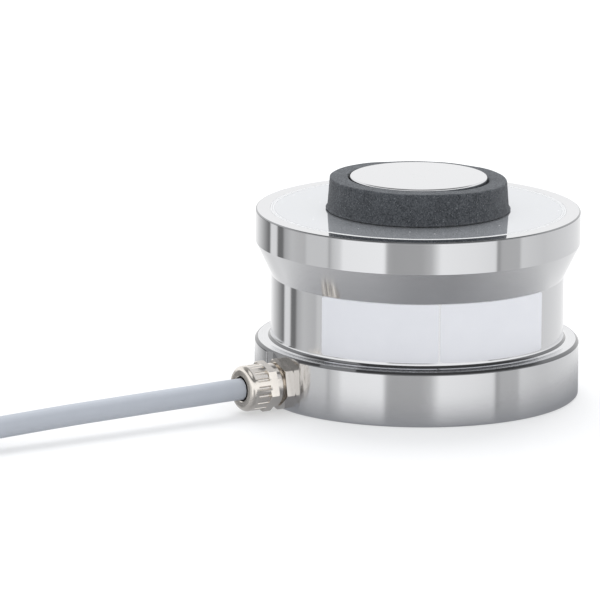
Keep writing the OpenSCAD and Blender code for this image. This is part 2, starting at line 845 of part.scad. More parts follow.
function end_core_start(i) =
    sleeve_end + core_shift * (core_places[i][0] * tail_side + core_places[i][1] * [0, 0, 1]);

module end_core(i) {
    start = end_core_start(i);
    swept_tube([start, start + 2 * tail_way, end_core_bends[i], end_core_tips[i]], core_d, 8);
}

module end_core_black() {
    color("black")
        end_core(0);
}

module end_core_blue() {
    color("royalblue")
        end_core(1);
}

module end_core_white() {
    color("white")
        end_core(2);
}

module end_core_red() {
    color("red")
        end_core(3);
}

module shield_wire() {
    color("lightgray")
        swept_tube([shield_start, shield_start + 2 * tail_way, shield_bend, shield_tip], core_d, 8);
}

// The tips of the cores and of the shield, with the way that each one points
bends = concat(end_core_bends, [shield_bend]);
tips = concat(end_core_tips, [shield_tip]);

module ferrule_collars() {
    color("orange")
        for (i = [0 : len(tips) - 1])
            rod(tips[i], tips[i] + collar_l * unit(tips[i] - bends[i]), collar_d);
}

module ferrule_pins() {
    color("silver")
        for (i = [0 : len(tips) - 1]) {
            way = unit(tips[i] - bends[i]);
            rod(tips[i] + collar_l * way, tips[i] + (collar_l + ferrule_l) * way, ferrule_d);
        }
}

measuring_body();
top_cover();
bottom_cover();
foam_ring();
label_left();
label_right();
upper_inner_gauge();
upper_outer_gauge();
lower_inner_gauge();
lower_outer_gauge();
upper_gauge_leads();
lower_gauge_leads();
terminal_board();
lead_solder_joints();
core_solder_joints();
nickel_resistors();
bridge_resistors();
gland_body();
gland_gasket();
gland_seal();
clamping_insert();
cap_nut();
entry_potting();
inner_core_black();
inner_core_blue();
inner_core_white();
inner_core_red();
cable();
cable_coil();
cable_tail();
coil_ties();
end_sleeve();
end_core_black();
end_core_blue();
end_core_white();
end_core_red();
shield_wire();
ferrule_collars();
ferrule_pins();
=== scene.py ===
"""A ring torsion load cell with its gland and cable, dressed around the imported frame. Metres, +Z up."""
import json
from math import atan2, cos, pi, radians, sin, tau

import bmesh
import bpy
from mathutils import Matrix, Vector


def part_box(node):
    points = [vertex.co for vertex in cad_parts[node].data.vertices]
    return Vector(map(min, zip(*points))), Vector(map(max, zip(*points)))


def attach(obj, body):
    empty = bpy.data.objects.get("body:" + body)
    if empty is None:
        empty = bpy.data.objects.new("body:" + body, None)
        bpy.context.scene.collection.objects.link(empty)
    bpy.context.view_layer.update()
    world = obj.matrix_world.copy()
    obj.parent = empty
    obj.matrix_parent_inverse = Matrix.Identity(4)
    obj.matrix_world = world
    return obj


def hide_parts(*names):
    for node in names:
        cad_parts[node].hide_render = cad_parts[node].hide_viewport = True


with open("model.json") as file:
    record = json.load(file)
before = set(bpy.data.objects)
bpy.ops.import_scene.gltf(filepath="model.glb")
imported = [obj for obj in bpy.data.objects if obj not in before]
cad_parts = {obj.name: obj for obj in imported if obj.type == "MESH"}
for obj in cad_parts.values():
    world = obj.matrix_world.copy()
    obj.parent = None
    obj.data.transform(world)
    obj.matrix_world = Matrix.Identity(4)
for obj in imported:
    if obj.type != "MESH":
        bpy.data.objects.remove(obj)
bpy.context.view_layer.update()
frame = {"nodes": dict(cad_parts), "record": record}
nodes = frame["nodes"]

MM = 0.001

# The photograph's view: a long lens, a little above the cell
CAMERA_PLACE = (-1.1952, -1.7720, 0.5087)
CAMERA_HEADING = radians(56.93)
CAMERA_TILT = radians(12.704)
CAMERA_ROLL = radians(0.49)
LENS_MM = 444
SENSOR_MM = 36
SIGHT_END = 20

# The turned body, in millimetres from its axis and from its standing face
BODY_R = 48
NECK_R = 43.3
INNER_R = 38.5
WIRING_R = 40.5
BOTTOM_COVER_R = 42.5
RING_OUTER_R = 35
RING_INNER_R = 23.5
HUB_R = 20
BUTTON_R = 20.3
SHOULDER_R = 22.3
SEAM_R = 43.1
BASE_H = 16.3
CONE_Z = 35.6
RIM_Z = 45.2
TOP_Z = 54.9
BUTTON_Z = 65
COVER_T = 1
BOTTOM_RECESS = 0.8
HUB_Z = 3
BOARD_TOP_Z = 14.5
RING_Z = 19
RING_TOP_Z = 45
WEB_Z = 29.5
WEB_TOP_Z = 34.5
SHOULDER_H = 2.5
EDGE_BREAK = 0.4
BASE_EDGE_R = 0.9
BASE_CHAMFER = 0.65
BROKEN_CORNER = 0.07
NECK_FILLET_R = 1.7
RIM_EDGE_R = 0.4
BUTTON_EDGE_R = 0.5
CROWN_FLAT_R = 6
CROWN_DROP = 0.15
SEAM_HALF = 0.6
GROOVE = 0.15
COVER_GAP = 0.05
FLAT_X = -47.2
ENTRY_R = 5
ENTRY_L = 8
LEAD_HOLE = (29.25, radians(150), 1.2)
BEYOND = 60
# The upward slopes between which the neck's fillet gets darker steel: a painted dark reflection
PAINTED_DARK_FILLET_SLOPES = (0.38, 0.83)

# The two labels on the neck
LABEL_W = 36.4
LABEL_H = 17.4
LABEL_CORNER = 0.8
LABEL_LOW_Z = 18.1
LABEL_FILM = 0.12
LABEL_CUTS = 48
LABEL_SEAM = radians(-115.2)
LABEL_GAP = 0.45

# The foam ring. Its waves round the axis are count, size and start
FOAM_BORE_R = 20.9
FOAM_LIP_R = 27.3
FOAM_FOOT_R = 26.8
FOAM_UPPER_R = 26.2
FOAM_EDGE_R = 0.45
FOAM_H = 9.3
FOAM_LIP_H = 0.7
FOAM_TILT = 0.021
FOAM_SWELL = ((3, 0.06, 0.7), (7, 0.05, 2.1), (13, 0.03, 0))
FOAM_PUSH = ((2, 0.08, 1.1), (5, 0.06, 0.4))

# The gland: stations along its axis, in millimetres out from the milled flat, and radii
GLAND_Z = (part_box("gland_gasket")[0][2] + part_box("gland_gasket")[1][2]) / 2 / MM
HEX_AF = 13
HEX_CORNER_R = HEX_AF / 2 / cos(radians(30))
HEX_CHAMFER = 0.4
BODY_HEX_L = 2.8
BODY_HEX_TURN = radians(11)
CAP_HEX_TURN = radians(16)
CAP_Z = 3.7
CAP_HEX_Z = 5.5
DOME_Z = 8.3
CAP_END_Z = 14.6
CAP_INNER_Z = 12.6
THREAD_END_Z = 8.6
THREAD_R = 5.6
COLLAR_R = 6.5
DOME_R = 6.75
DOME_EDGE_R = 1.6
OPENING_R = 3.7
INSERT_R = 4.75
FLUTES = 18
FLUTE_R = 0.55
FLUTE_L = 4
GLAND_BORE_R = 3.5
TAIL_R = 4.95
TAIL_ROOT_R = 4.5
TAIL_Z = -6.4
TAIL_THREAD_Z = -6.2
TAIL_TURNS = 5
CAP_THREAD_ROOT_R = 5.15
CAP_THREAD_PITCH = 0.75
CAP_THREAD_TURNS = 7
SEAL_SEAT_R = 4.55
SEAL_SEAT_Z = 3.2
INSERT_BORE_R = 3.3
INSERT_SLOTS = 8

# The cable and its coil
CABLE_R = 3.25
CORE_R = 0.65
CORE_SHIFT = 0.775
COIL_CENTRE = (-190, 48)
COIL_RADII = (47.9, 41.3, 34.7, 28.1)
COIL_LAYERS = 5
COIL_FLOOR = 1
COIL_INNER_R = 24.85
COIL_OUTER_R = 51.15
COIL_TOP = 34
TURN_PITCH = 6.6
POINTS_PER_TURN = 36
LAST_TURN_DEG = 75
TIE_ANGLES = (radians(-30), radians(-150))
TIE_W = 6
TIE_T = 1
TIE_GAP = 0.05
TIE_HEAD_HALF = 3.5
TIE_HEAD_H = 6
TIE_HEAD_DEPTH = 4

# The stripped end. Its wires are name, node, slot, place in the sleeve across and up, bend and tip
SHIELD_SHIFT = 2.6
SLEEVE_L = 9
END_WIRES = (
    ("black", "end_core_black", "core_black", -CORE_SHIFT, CORE_SHIFT,
     (-156.5, 76.5, 35.6), (-150.5, 66, 35.2)),
    ("blue", "end_core_blue", "core_blue", CORE_SHIFT, CORE_SHIFT,
     (-155, 82, 35.4), (-148.5, 76, 35.2)),
    ("white", "end_core_white", "core_white", -CORE_SHIFT, -CORE_SHIFT,
     (-158.5, 74, 35.4), (-154, 62.5, 35.2)),
    ("red", "end_core_red", "core_red", CORE_SHIFT, -CORE_SHIFT,
     (-155, 79, 35.4), (-148, 71, 35.2)),
    ("shield", "shield_wire", "shield_sleeve", -SHIELD_SHIFT, 0,
     (-161, 73, 35.4), (-158, 61, 35.2))
)
# Radii and heights of the shrunk sleeve, of a ferrule's collar and of its crimped pin
SLEEVE_OUTLINE = (
    (CABLE_R + 0.02, -5), (3.5, -5), (3.65, -4.85), (3.65, -0.6), (3.58, 0.4), (3.6, 3), (3.62, 6),
    (3.55, 8.4), (3.3, 8.85), (2.9, SLEEVE_L), (0, SLEEVE_L), (0, 0), (CABLE_R + 0.02, 0)
)
COLLAR_OUTLINE = (
    (CORE_R, 0), (0.9, 0), (1, 0.1), (1, 1.6), (0.85, 2.6), (0.82, 3.9), (0.75, 4), (0.3, 4),
    (0.3, 1), (CORE_R, 1)
)
PIN_OUTLINE = (
    (0, 4), (0.55, 4), (0.55, 5), (0.49, 5.2), (0.49, 6.2), (0.55, 6.4), (0.55, 7.4), (0.49, 7.6),
    (0.49, 8.6), (0.55, 8.8), (0.55, 10.8), (0.45, 11), (0, 11)
)


def add_object(name, data):
    made = bpy.data.objects.new(name, data)
    bpy.context.scene.collection.objects.link(made)
    return made


def aim_camera():
    data = bpy.data.cameras.new("photo_camera")
    data.lens = LENS_MM
    data.sensor_width = SENSOR_MM
    data.clip_end = SIGHT_END
    camera = add_object("photo_camera", data)
    level = cos(CAMERA_TILT)
    ahead = Vector((cos(CAMERA_HEADING) * level, sin(CAMERA_HEADING) * level, -sin(CAMERA_TILT)))
    right = Vector((sin(CAMERA_HEADING), -cos(CAMERA_HEADING), 0))
    up = right.cross(ahead)
    rolled_right = cos(CAMERA_ROLL) * right + sin(CAMERA_ROLL) * up
    rolled_up = cos(CAMERA_ROLL) * up - sin(CAMERA_ROLL) * right
    pose = Matrix((rolled_right, rolled_up, -ahead)).transposed().to_4x4()
    pose.translation = CAMERA_PLACE
    camera.matrix_world = pose
    bpy.context.scene.camera = camera


aim_camera()


# The cable's route in millimetres, with the construction's own points
STRAIGHT_RUN = [
    (-61.8, 0, GLAND_Z), (-68, 0, 7.7), (-75, 0, 7.6), (-90, 0, 7.5), (-105, 0, 7.3),
    (-120, 0, 7.1), (-135, 0, 6.7), (-150, 0, 6.2), (-164, 0, 5.5), (-176, 0, 4.6)
]
TAIL_RUN = [
    (-211, 69, 37.3), (-204, 78, 37.3), (-193, 84, 37.4), (-182, 85.5, 37.7), (-172, 83.5, 37.8)
]


def ease(t):
    """Goes smoothly from 0 to 1 as t does."""
    t = min(max(t, 0), 1)
    return t * t * (3 - 2 * t)


def coil_run():
    """Winds the coil layer on layer, inward and outward in turn, and leaves it at the inner turn."""
    columns = len(COIL_RADII)
    turns = columns * COIL_LAYERS
    radii = []
    for layer in range(COIL_LAYERS):
        radii += COIL_RADII if layer % 2 == 0 else reversed(COIL_RADII)
    points = []
    last_step = (turns - 1) * POINTS_PER_TURN + POINTS_PER_TURN * LAST_TURN_DEG // 360
    for step in range(last_step + 1):
        turn, part = divmod(step, POINTS_PER_TURN)
        part /= POINTS_PER_TURN
        after = min(turn + 1, turns - 1)
        layer, next_layer = turn // columns, after // columns
        radius = radii[turn] + (radii[after] - radii[turn]) * ease(6 * part - 5)
        height = layer + (next_layer - layer) * ease(6 * part - 4)
        angle = -pi / 2 - tau * step / POINTS_PER_TURN
        points.append((
            COIL_CENTRE[0] + radius * cos(angle), COIL_CENTRE[1] + radius * sin(angle),
            COIL_FLOOR + CABLE_R + TURN_PITCH * height
        ))
    return points


def tube_curve(name, points, radius, finish, resolution=3, around=4):
    """A round tube on one smooth spline through points in millimetres."""
    data = bpy.data.curves.new(name, "CURVE")
    data.dimensions = "3D"
    data.bevel_depth = radius * MM
    data.bevel_resolution = around
    data.resolution_u = resolution
    data.use_fill_caps = True
    data.materials.append(finish)
    spline = data.splines.new("BEZIER")
    spline.bezier_points.add(len(points) - 1)
    for knot, place in zip(spline.bezier_points, points):
        knot.co = Vector(place) * MM
        knot.handle_left_type = "AUTO"
        knot.handle_right_type = "AUTO"
    return add_object(name, data)


def place_piece(piece, slot, *stands_for):
    """Rides a piece on the cell's only body and hides the nodes that it stands for. The slot is not used.
    """
    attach(piece, "root")
    if stands_for:
        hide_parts(*stands_for)


# Materials: a small kit for node trees, then one function per finish

def add_node(material, kind, inputs=(), **settings):
    """Adds a node. An input that is a socket is linked, and any other one is set."""
    made = material.node_tree.nodes.new(kind)
    for key, value in settings.items():
        setattr(made, key, value)
    for key, value in dict(inputs).items():
        if isinstance(value, bpy.types.NodeSocket):
            material.node_tree.links.new(value, made.inputs[key])
        else:
            made.inputs[key].default_value = value
    return made


def new_finish(name, color, roughness, **sockets):
    """A material whose shader has the given plain values, and its shader node."""
    material = bpy.data.materials.new(name)
    material.use_nodes = True
    shader = material.node_tree.nodes["Principled BSDF"]
    shader.inputs["Base Color"].default_value = (*color, 1)
    shader.inputs["Roughness"].default_value = roughness
    for key, value in sockets.items():
        shader.inputs[key.replace("_", " ")].default_value = value
    return material, shader


def object_place(material):
    return add_node(material, "ShaderNodeTexCoord").outputs["Object"]


def noise(material, where, scale, detail=4, roughness=0.5):
    return add_node(material, "ShaderNodeTexNoise", {
        "Vector": where, "Scale": scale, "Detail": detail, "Roughness": roughness
    }).outputs["Fac"]


def spread(material, value, low, high, from_low=0, from_high=1):
    """Maps a value from one range to another."""
    return add_node(material, "ShaderNodeMapRange", {
        "Value": value, "From Min": from_low, "From Max": from_high, "To Min": low, "To Max": high
    }).outputs["Result"]


def blend_colors(material, factor, first, second):
    stops = add_node(material, "ShaderNodeValToRGB", {"Fac": factor})
    stops.color_ramp.elements[0].color = (*first, 1)
    stops.color_ramp.elements[1].color = (*second, 1)
    return stops.outputs["Color"]


def mix_colors(material, factor, first, second, **settings):
    return add_node(material, "ShaderNodeMix", {0: factor, 6: first, 7: second}, data_type="RGBA",
                    **settings).outputs[2]


def drive(material, shader, socket, value):
    material.node_tree.links.new(value, shader.inputs[socket])


def relief(material, shader, height, depth, strength=1.0):
    """Bump whose full height is depth metres."""
    bump = add_node(material, "ShaderNodeBump", {"Height": height, "Distance": depth, "Strength": strength})
    drive(material, shader, "Normal", bump.outputs["Normal"])


STEEL = (0.71, 0.715, 0.73)


def turned_steel(name, roughness, marks, depth, anisotropic=0.95):
    """Steel turned on a lathe: fine marks run round it, and its gloss spreads across them."""
    material, shader = new_finish(name, STEEL, roughness, Metallic=1.0, Anisotropic=anisotropic,
                                  Anisotropic_Rotation=0.25)
    tangent = add_node(material, "ShaderNodeTangent", direction_type="UV_MAP", uv_map="around")
    drive(material, shader, "Tangent", tangent.outputs["Tangent"])
    around = add_node(material, "ShaderNodeUVMap", uv_map="around")
    across = add_node(material, "ShaderNodeSeparateXYZ", {"Vector": around.outputs["UV"]}).outputs["Y"]
    lines = add_node(material, "ShaderNodeTexNoise", {
        "W": across, "Scale": 420, "Detail": 3, "Roughness": 0.7
    }, noise_dimensions="1D").outputs["Fac"]
    pale = tuple(c * (1 + marks) for c in STEEL)
    dark = tuple(c * (1 - marks) for c in STEEL)
    tone = spread(material, lines, 0, 1, 0.3, 0.7)
    drive(material, shader, "Base Color", blend_colors(material, tone, dark, pale))
    patches = noise(material, object_place(material), 45, 2)
    uneven = spread(material, patches, roughness * 0.9, roughness * 1.1, 0.3, 0.7)
    drive(material, shader, "Roughness", uneven)
    relief(material, shader, lines, depth)
    return material


def mirror_steel(name, roughness, color=STEEL):
    """Steel polished to a mirror, with a trace of haze and of unevenness."""
    material, shader = new_finish(name, color, roughness, Metallic=1.0)
    haze = noise(material, object_place(material), 60, 5, 0.6)
    drive(material, shader, "Roughness", spread(material, haze, roughness * 0.6, roughness * 1.5, 0.3, 0.7))
    relief(material, shader, noise(material, object_place(material), 90, 1), 2e-6)
    return material


def polished_sheet():
    """The cover's sheet mirrors sharply through a haze of fine scratches, with a few dust specks. The
    haze's bluish tint is a painted reflection of bluish light.
    """
    # Partly duller diffuse haze, with a bluish tint that is a painted reflection of bluish light
    polish = (0.634, 0.648, 0.67)
    metallic = 0.66
    material, shader = new_finish("polished_cover", polish, 0.04, Metallic=metallic)
    where = object_place(material)
    haze = noise(material, where, 60, 5, 0.6)
    drive(material, shader, "Roughness", spread(material, haze, 0.025, 0.06, 0.3, 0.7))
    specks = add_node(material, "ShaderNodeTexVoronoi", {"Vector": where, "Scale": 260}).outputs["Distance"]
    clean = spread(material, specks, 0, 1, 0.05, 0.08)
    drive(material, shader, "Base Color", blend_colors(material, clean, (0.9, 0.9, 0.9), polish))
    drive(material, shader, "Metallic", spread(material, clean, 0, metallic))
    return material


def weld_seam():
    """The laser weld's dull bead."""
    material, shader = new_finish("weld_seam", (0.7, 0.7, 0.7), 0.6)
    ripple = noise(material, object_place(material), 1500, 3)
    drive(material, shader, "Base Color",
          blend_colors(material, ripple, (0.65, 0.65, 0.65), (0.74, 0.74, 0.74)))
    relief(material, shader, ripple, 2e-5)
    return material


def nickel_plating():
    """Warm bright nickel over brass, slightly uneven."""
    roughness = 0.16
    material, shader = new_finish("nickel_plate", (0.8, 0.76, 0.71), roughness, Metallic=1.0)
    haze = noise(material, object_place(material), 400, 4)
    drive(material, shader, "Roughness", spread(material, haze, roughness * 0.7, roughness * 1.4, 0.3, 0.7))
    relief(material, shader, noise(material, object_place(material), 900, 2), 6e-6)
    return material


def cut_foam():
    """Dark closed-cell foam: fine cut cells, and pale specks where their walls catch the light."""
    material, shader = new_finish("cut_foam", (0.05, 0.055, 0.062), 0.9, Sheen_Weight=0.15,
                                  Sheen_Roughness=0.5)
    where = object_place(material)
    grain = noise(material, where, 1900, 4, 0.8)
    cloud = spread(material, noise(material, where, 260, 2), -0.08, 0.08)
    tone = add_node(material, "ShaderNodeMath", {0: grain, 1: cloud}, operation="ADD").outputs[0]
    cells = blend_colors(material, spread(material, tone, 0, 1, 0.36, 0.7),
                         (0.024, 0.027, 0.032), (0.145, 0.155, 0.167))
    specks = spread(material, noise(material, where, 3400, 1), 0, 1, 0.68, 0.74)
    drive(material, shader, "Base Color", mix_colors(material, specks, cells, (0.34, 0.35, 0.37, 1)))
    relief(material, shader, grain, 2.5e-4, 0.8)
    return material


def label_film():
    """White printing film with a satin face, left bare."""
    material, shader = new_finish("label_film", (0.88, 0.88, 0.91), 0.4)
    tone = noise(material, object_place(material), 220, 3)
    drive(material, shader, "Base Color",
          blend_colors(material, tone, (0.865, 0.866, 0.896), (0.9, 0.9, 0.926)))
    relief(material, shader, noise(material, object_place(material), 2500, 2), 4e-6)
    return material


def sheath_plastic():
    """The cable's light blue-grey sheath, faintly cloudy and grained."""
    material, shader = new_finish("cable_sheath_plastic", (0.495, 0.52, 0.565), 0.5)
    tone = noise(material, object_place(material), 300, 4)
    drive(material, shader, "Base Color",
          blend_colors(material, tone, (0.475, 0.5, 0.545), (0.515, 0.54, 0.585)))
    relief(material, shader, noise(material, object_place(material), 2200, 3), 2.5e-5)
    return material


def plain_plastic(name, color, roughness=0.45, grain=1200, depth=1e-5):
    """Moulded or drawn plastic with a faint grain and slightly uneven gloss."""
    material, shader = new_finish(name, color, roughness)
    where = object_place(material)
    tone = noise(material, where, grain / 3, 3)
    dark = tuple(c * 0.85 for c in color)
    pale = tuple(min(c * 1.12 + 0.004, 1) for c in color)
    drive(material, shader, "Base Color", blend_colors(material, tone, dark, pale))
    relief(material, shader, noise(material, where, grain, 2), depth)
    return material


def plain_metal(name, color, roughness):
    """Bare metal with slightly uneven gloss."""
    material, shader = new_finish(name, color, roughness, Metallic=1.0)
    haze = noise(material, object_place(material), 900, 4)
    drive(material, shader, "Roughness", spread(material, haze, roughness * 0.7, roughness * 1.3, 0.3, 0.7))
    relief(material, shader, haze, 1e-5)
    return material


FINISHES = {
    "stainless_steel": turned_steel("turned_inside", 0.35, 0.03, 2e-6),
    "polished_cover": polished_sheet(),
    "weld_seam": weld_seam(),
    "foam": cut_foam(),
    "label": label_film(),
    "gauge_foil": plain_metal("gauge_foil", (0.72, 0.42, 0.22), 0.35),
    "lead_enamel": plain_plastic("lead_enamel", (0.45, 0.05, 0.03), 0.25),
    "circuit_board": plain_plastic("circuit_board", (0.02, 0.16, 0.07), 0.35),
    "solder": plain_metal("solder", (0.68, 0.68, 0.7), 0.25),
    "resistor": plain_plastic("resistor", (0.02, 0.02, 0.022), 0.3),
    "nickel_resistor": plain_plastic("nickel_resistor", (0.5, 0.33, 0.18), 0.35),
    "nickel_plate": nickel_plating(),
    "black_rubber": plain_plastic("black_rubber", (0.012, 0.012, 0.014), 0.6, 1500, 2e-5),
    "potting": plain_plastic("potting", (0.12, 0.06, 0.03), 0.4),
    "cable_sheath": sheath_plastic(),
    "core_black": plain_plastic("core_black", (0.015, 0.015, 0.017), 0.35),
    "core_blue": plain_plastic("core_blue", (0.02, 0.09, 0.42), 0.35),
    "core_white": plain_plastic("core_white", (0.75, 0.75, 0.72), 0.35),
    "core_red": plain_plastic("core_red", (0.5, 0.02, 0.015), 0.35),
    "shrink_sleeve": plain_plastic("shrink_sleeve", (0.016, 0.016, 0.018), 0.5, 1000, 4e-5),
    "shield_sleeve": plain_plastic("shield_sleeve", (0.3, 0.5, 0.05), 0.45),
    "tie_plastic": plain_plastic("tie_plastic", (0.018, 0.018, 0.02), 0.4),
    "ferrule_collar": plain_plastic("ferrule_collar", (0.75, 0.2, 0.02), 0.35),
    "ferrule_tin": plain_metal("ferrule_tin", (0.75, 0.75, 0.76), 0.2),
}

for subpart in frame["record"]["subparts"]:
    cad_mesh = nodes[subpart["node"]].data
    cad_mesh.materials.clear()
    cad_mesh.materials.append(FINISHES[subpart["material_slot"]])

cable = tube_curve("cable_sheath", STRAIGHT_RUN + coil_run() + TAIL_RUN, CABLE_R, FINISHES["cable_sheath"])
place_piece(cable, "cable_sheath", "cable", "cable_coil", "cable_tail")
cable.visible_glossy = False


# Mesh making: outlines in millimetres, turned and cut with Blender's own operators

ACROSS_SPAN = 0.1
ACROSS_RISE = 1.5


def arc(r, z, radius, start, end, steps=8):
    """Outline points along an arc, from one angle to another in degrees."""
    turns = [radians(start + (end - start) * i / steps) for i in range(steps + 1)]
    return [(r + radius * cos(a), z + radius * sin(a)) for a in turns]


def merge_seams(bm):
    """Joins points that lie on each other, and clears slivers."""
    bmesh.ops.remove_doubles(bm, verts=bm.verts, dist=1e-7)
    bmesh.ops.dissolve_degenerate(bm, edges=bm.edges, dist=1e-8)


def lathe(outline, steps=288):
    """Turns a closed outline of radii and heights once round the vertical axis."""
    bm = bmesh.new()
    corners = [bm.verts.new((r * MM, 0, z * MM)) for r, z in outline]
    rim = [bm.edges.new(pair) for pair in zip(corners, corners[1:] + corners[:1])]
    bmesh.ops.spin(bm, geom=corners + rim, cent=(0, 0, 0), axis=(0, 0, 1), angle=tau, steps=steps,
                   use_merge=True)
    merge_seams(bm)
    bmesh.ops.recalc_face_normals(bm, faces=bm.faces)
    return bm


def map_around(bm):
    """A UV map that runs round the axis and, per ACROSS_SPAN metres, across the turning marks."""
    layer = bm.loops.layers.uv.new("around")
    for face in bm.faces:
        middle = face.calc_center_median()
        there = atan2(middle.y, middle.x)
        for loop in face.loops:
            place = loop.vert.co
            here = atan2(place.y, place.x) if place.xy.length > 1e-6 else there
            turn = (here - there + pi) % tau - pi
            across = ACROSS_RISE * place.z - place.xy.length
            loop[layer].uv = ((there + turn) / tau + 0.5, across / ACROSS_SPAN)


def mesh_from(bm, name):
    """A mesh with this bmesh's faces, which is freed."""
    mesh = bpy.data.meshes.new(name)
    bm.to_mesh(mesh)
    bm.free()
    return mesh


def soften(bm, edges, width, segments):
    """Rounds the given edges, width in millimetres."""
    bmesh.ops.bevel(bm, geom=edges, offset=width * MM, affect="EDGES", segments=segments,
                    profile=0.5, material=-1)


def verts_of(geometry):
    return [part for part in geometry if isinstance(part, bmesh.types.BMVert)]


def make_piece(bm, name, finishes, sharp=28):
    """Makes an object of the mesh, smooth but for edges that bend more than the given degrees."""
    for face in bm.faces:
        face.smooth = True
    for edge in bm.edges:
        edge.smooth = edge.is_manifold and edge.calc_face_angle() < radians(sharp)
    mesh = mesh_from(bm, name)
    for finish in finishes:
        mesh.materials.append(finish)
    piece = add_object(name, mesh)
    weighted = piece.modifiers.new("even_normals", "WEIGHTED_NORMAL")
    weighted.keep_sharp = True
    return piece


def combine(bm, other, operation):
    """Cuts another mesh out of this one, adds it or keeps what both hold, and returns the result."""
    base = add_object("base", mesh_from(bm, "base"))
    tool = add_object("tool", mesh_from(other, "tool"))
    cut = base.modifiers.new("cut", "BOOLEAN")
    cut.object = tool
    cut.operation = operation
    cut.solver = "EXACT"
    bpy.context.view_layer.update()
    result = bmesh.new()
    result.from_object(base, bpy.context.evaluated_depsgraph_get())
    for made in (base, tool):
        mesh = made.data
        bpy.data.objects.remove(made)
        bpy.data.meshes.remove(mesh)
    merge_seams(result)
    return result


def cylinder(radius, low, high, sides=64):
    """A closed cylinder along the vertical axis, in millimetres."""
    bm = bmesh.new()
    bmesh.ops.create_cone(bm, cap_ends=True, segments=sides, radius1=radius * MM, radius2=radius * MM,
                          depth=(high - low) * MM)
    bmesh.ops.translate(bm, verts=bm.verts, vec=(0, 0, (low + high) / 2 * MM))
    return bm


def block(low, high):
    """A closed box between two corners, in millimetres."""
    bm = bmesh.new()
    bmesh.ops.create_cube(bm, size=1)
    size = [(b - a) * MM for a, b in zip(low, high)]
    bmesh.ops.scale(bm, verts=bm.verts, vec=size)
    bmesh.ops.translate(bm, verts=bm.verts, vec=[(a + b) / 2 * MM for a, b in zip(low, high)])
    return bm


def gland_pose():
    """Local +Z becomes the gland's axis, out of the milled flat."""
    return Matrix.Translation((FLAT_X * MM, 0, GLAND_Z * MM)) @ Matrix.Rotation(-pi / 2, 4, "Y")


def crown_points():
    """The button's crown, from its rounded edge in to the flat middle."""
    edge = BUTTON_R - BUTTON_EDGE_R
    shares = [i / 8 for i in range(7, -1, -1)]
    return [(CROWN_FLAT_R + (edge - CROWN_FLAT_R) * s, BUTTON_Z - CROWN_DROP * s * s) for s in shares]


def body_outline():
    """The whole turned body in one closed outline: hub, webs, torsion ring, support ring and button."""
    groove_r = SEAM_R + SEAM_HALF
    ledge_z = TOP_Z - COVER_T
    floor_z = BOTTOM_RECESS + COVER_T
    edge_z = BUTTON_Z - CROWN_DROP - BUTTON_EDGE_R
    inside = [
        (0, HUB_Z), (HUB_R - EDGE_BREAK, HUB_Z), (HUB_R, HUB_Z + EDGE_BREAK), (HUB_R, WEB_Z),
        (RING_INNER_R, WEB_Z), (RING_INNER_R, RING_Z), (RING_OUTER_R, RING_Z), (RING_OUTER_R, WEB_Z),
        (INNER_R, WEB_Z), (INNER_R, BOARD_TOP_Z), (WIRING_R, BOARD_TOP_Z), (WIRING_R, floor_z),
        (BOTTOM_COVER_R, floor_z), (BOTTOM_COVER_R, 0)
    ]
    outside = [(BODY_R - EDGE_BREAK, 0), (BODY_R, EDGE_BREAK)]
    outside += [(BODY_R, BASE_H - BASE_EDGE_R), (BODY_R - BROKEN_CORNER, BASE_H - BASE_CHAMFER)]
    outside += [(BODY_R - BASE_CHAMFER, BASE_H - BROKEN_CORNER), (BODY_R - BASE_EDGE_R, BASE_H)]
    outside += arc(NECK_R + NECK_FILLET_R, BASE_H + NECK_FILLET_R, NECK_FILLET_R, 270, 180)
    outside += [(NECK_R, CONE_Z), (BODY_R - EDGE_BREAK / 2, RIM_Z - EDGE_BREAK / 2)]
    outside += [(BODY_R, RIM_Z + EDGE_BREAK / 2)]
    outside += arc(BODY_R - RIM_EDGE_R, TOP_Z - RIM_EDGE_R, RIM_EDGE_R, 0, 90)
    top = [
        (groove_r + GROOVE / 2, TOP_Z), (groove_r, TOP_Z - GROOVE), (groove_r - GROOVE / 2, TOP_Z),
        (SEAM_R, TOP_Z), (SEAM_R, ledge_z), (INNER_R, ledge_z), (INNER_R, WEB_TOP_Z),
        (RING_OUTER_R, WEB_TOP_Z), (RING_OUTER_R, RING_TOP_Z), (RING_INNER_R, RING_TOP_Z),
        (RING_INNER_R, WEB_TOP_Z), (HUB_R, WEB_TOP_Z), (HUB_R, ledge_z - SHOULDER_H),
        (SHOULDER_R, ledge_z - SHOULDER_H), (SHOULDER_R, ledge_z), (BUTTON_R, ledge_z)
    ]
    button = arc(BUTTON_R - BUTTON_EDGE_R, edge_z, BUTTON_EDGE_R, 0, 90)
    return inside + outside + top + button + crown_points() + [(0, BUTTON_Z)]


def body_finishes():
    """The body's finishes, by the part of its surface."""
    return {
        "inside": FINISHES["stainless_steel"],
        "base_side": turned_steel("base_side", 0.14, 0.03, 8e-7),
        "fillets": mirror_steel("fillets_and_edges", 0.04),
        "neck_side": turned_steel("neck_side", 0.1, 0.015, 4e-7),
        "cone_side": turned_steel("cone_side", 0.1, 0.02, 5e-7),
        "tops": mirror_steel("button_and_rim_top", 0.05),
        "rim_side": turned_steel("rim_side", 0.08, 0.015, 4e-7),
        "base_top": turned_steel("base_top", 0.2, 0.03, 3e-6, 0.8),
        "weld": FINISHES["weld_seam"],
        # The rim's outer edge: darker steel, a painted dark reflection
        "painted_dark_rim_edge": mirror_steel("painted_dark_rim_edge", 0.08, (0.3, 0.305, 0.315)),
        # The base's chamfer and the fillet's middle slopes: darker steel, a painted dark reflection
        "painted_dark_edges": mirror_steel("painted_dark_edges", 0.08, (0.17, 0.173, 0.18))
    }


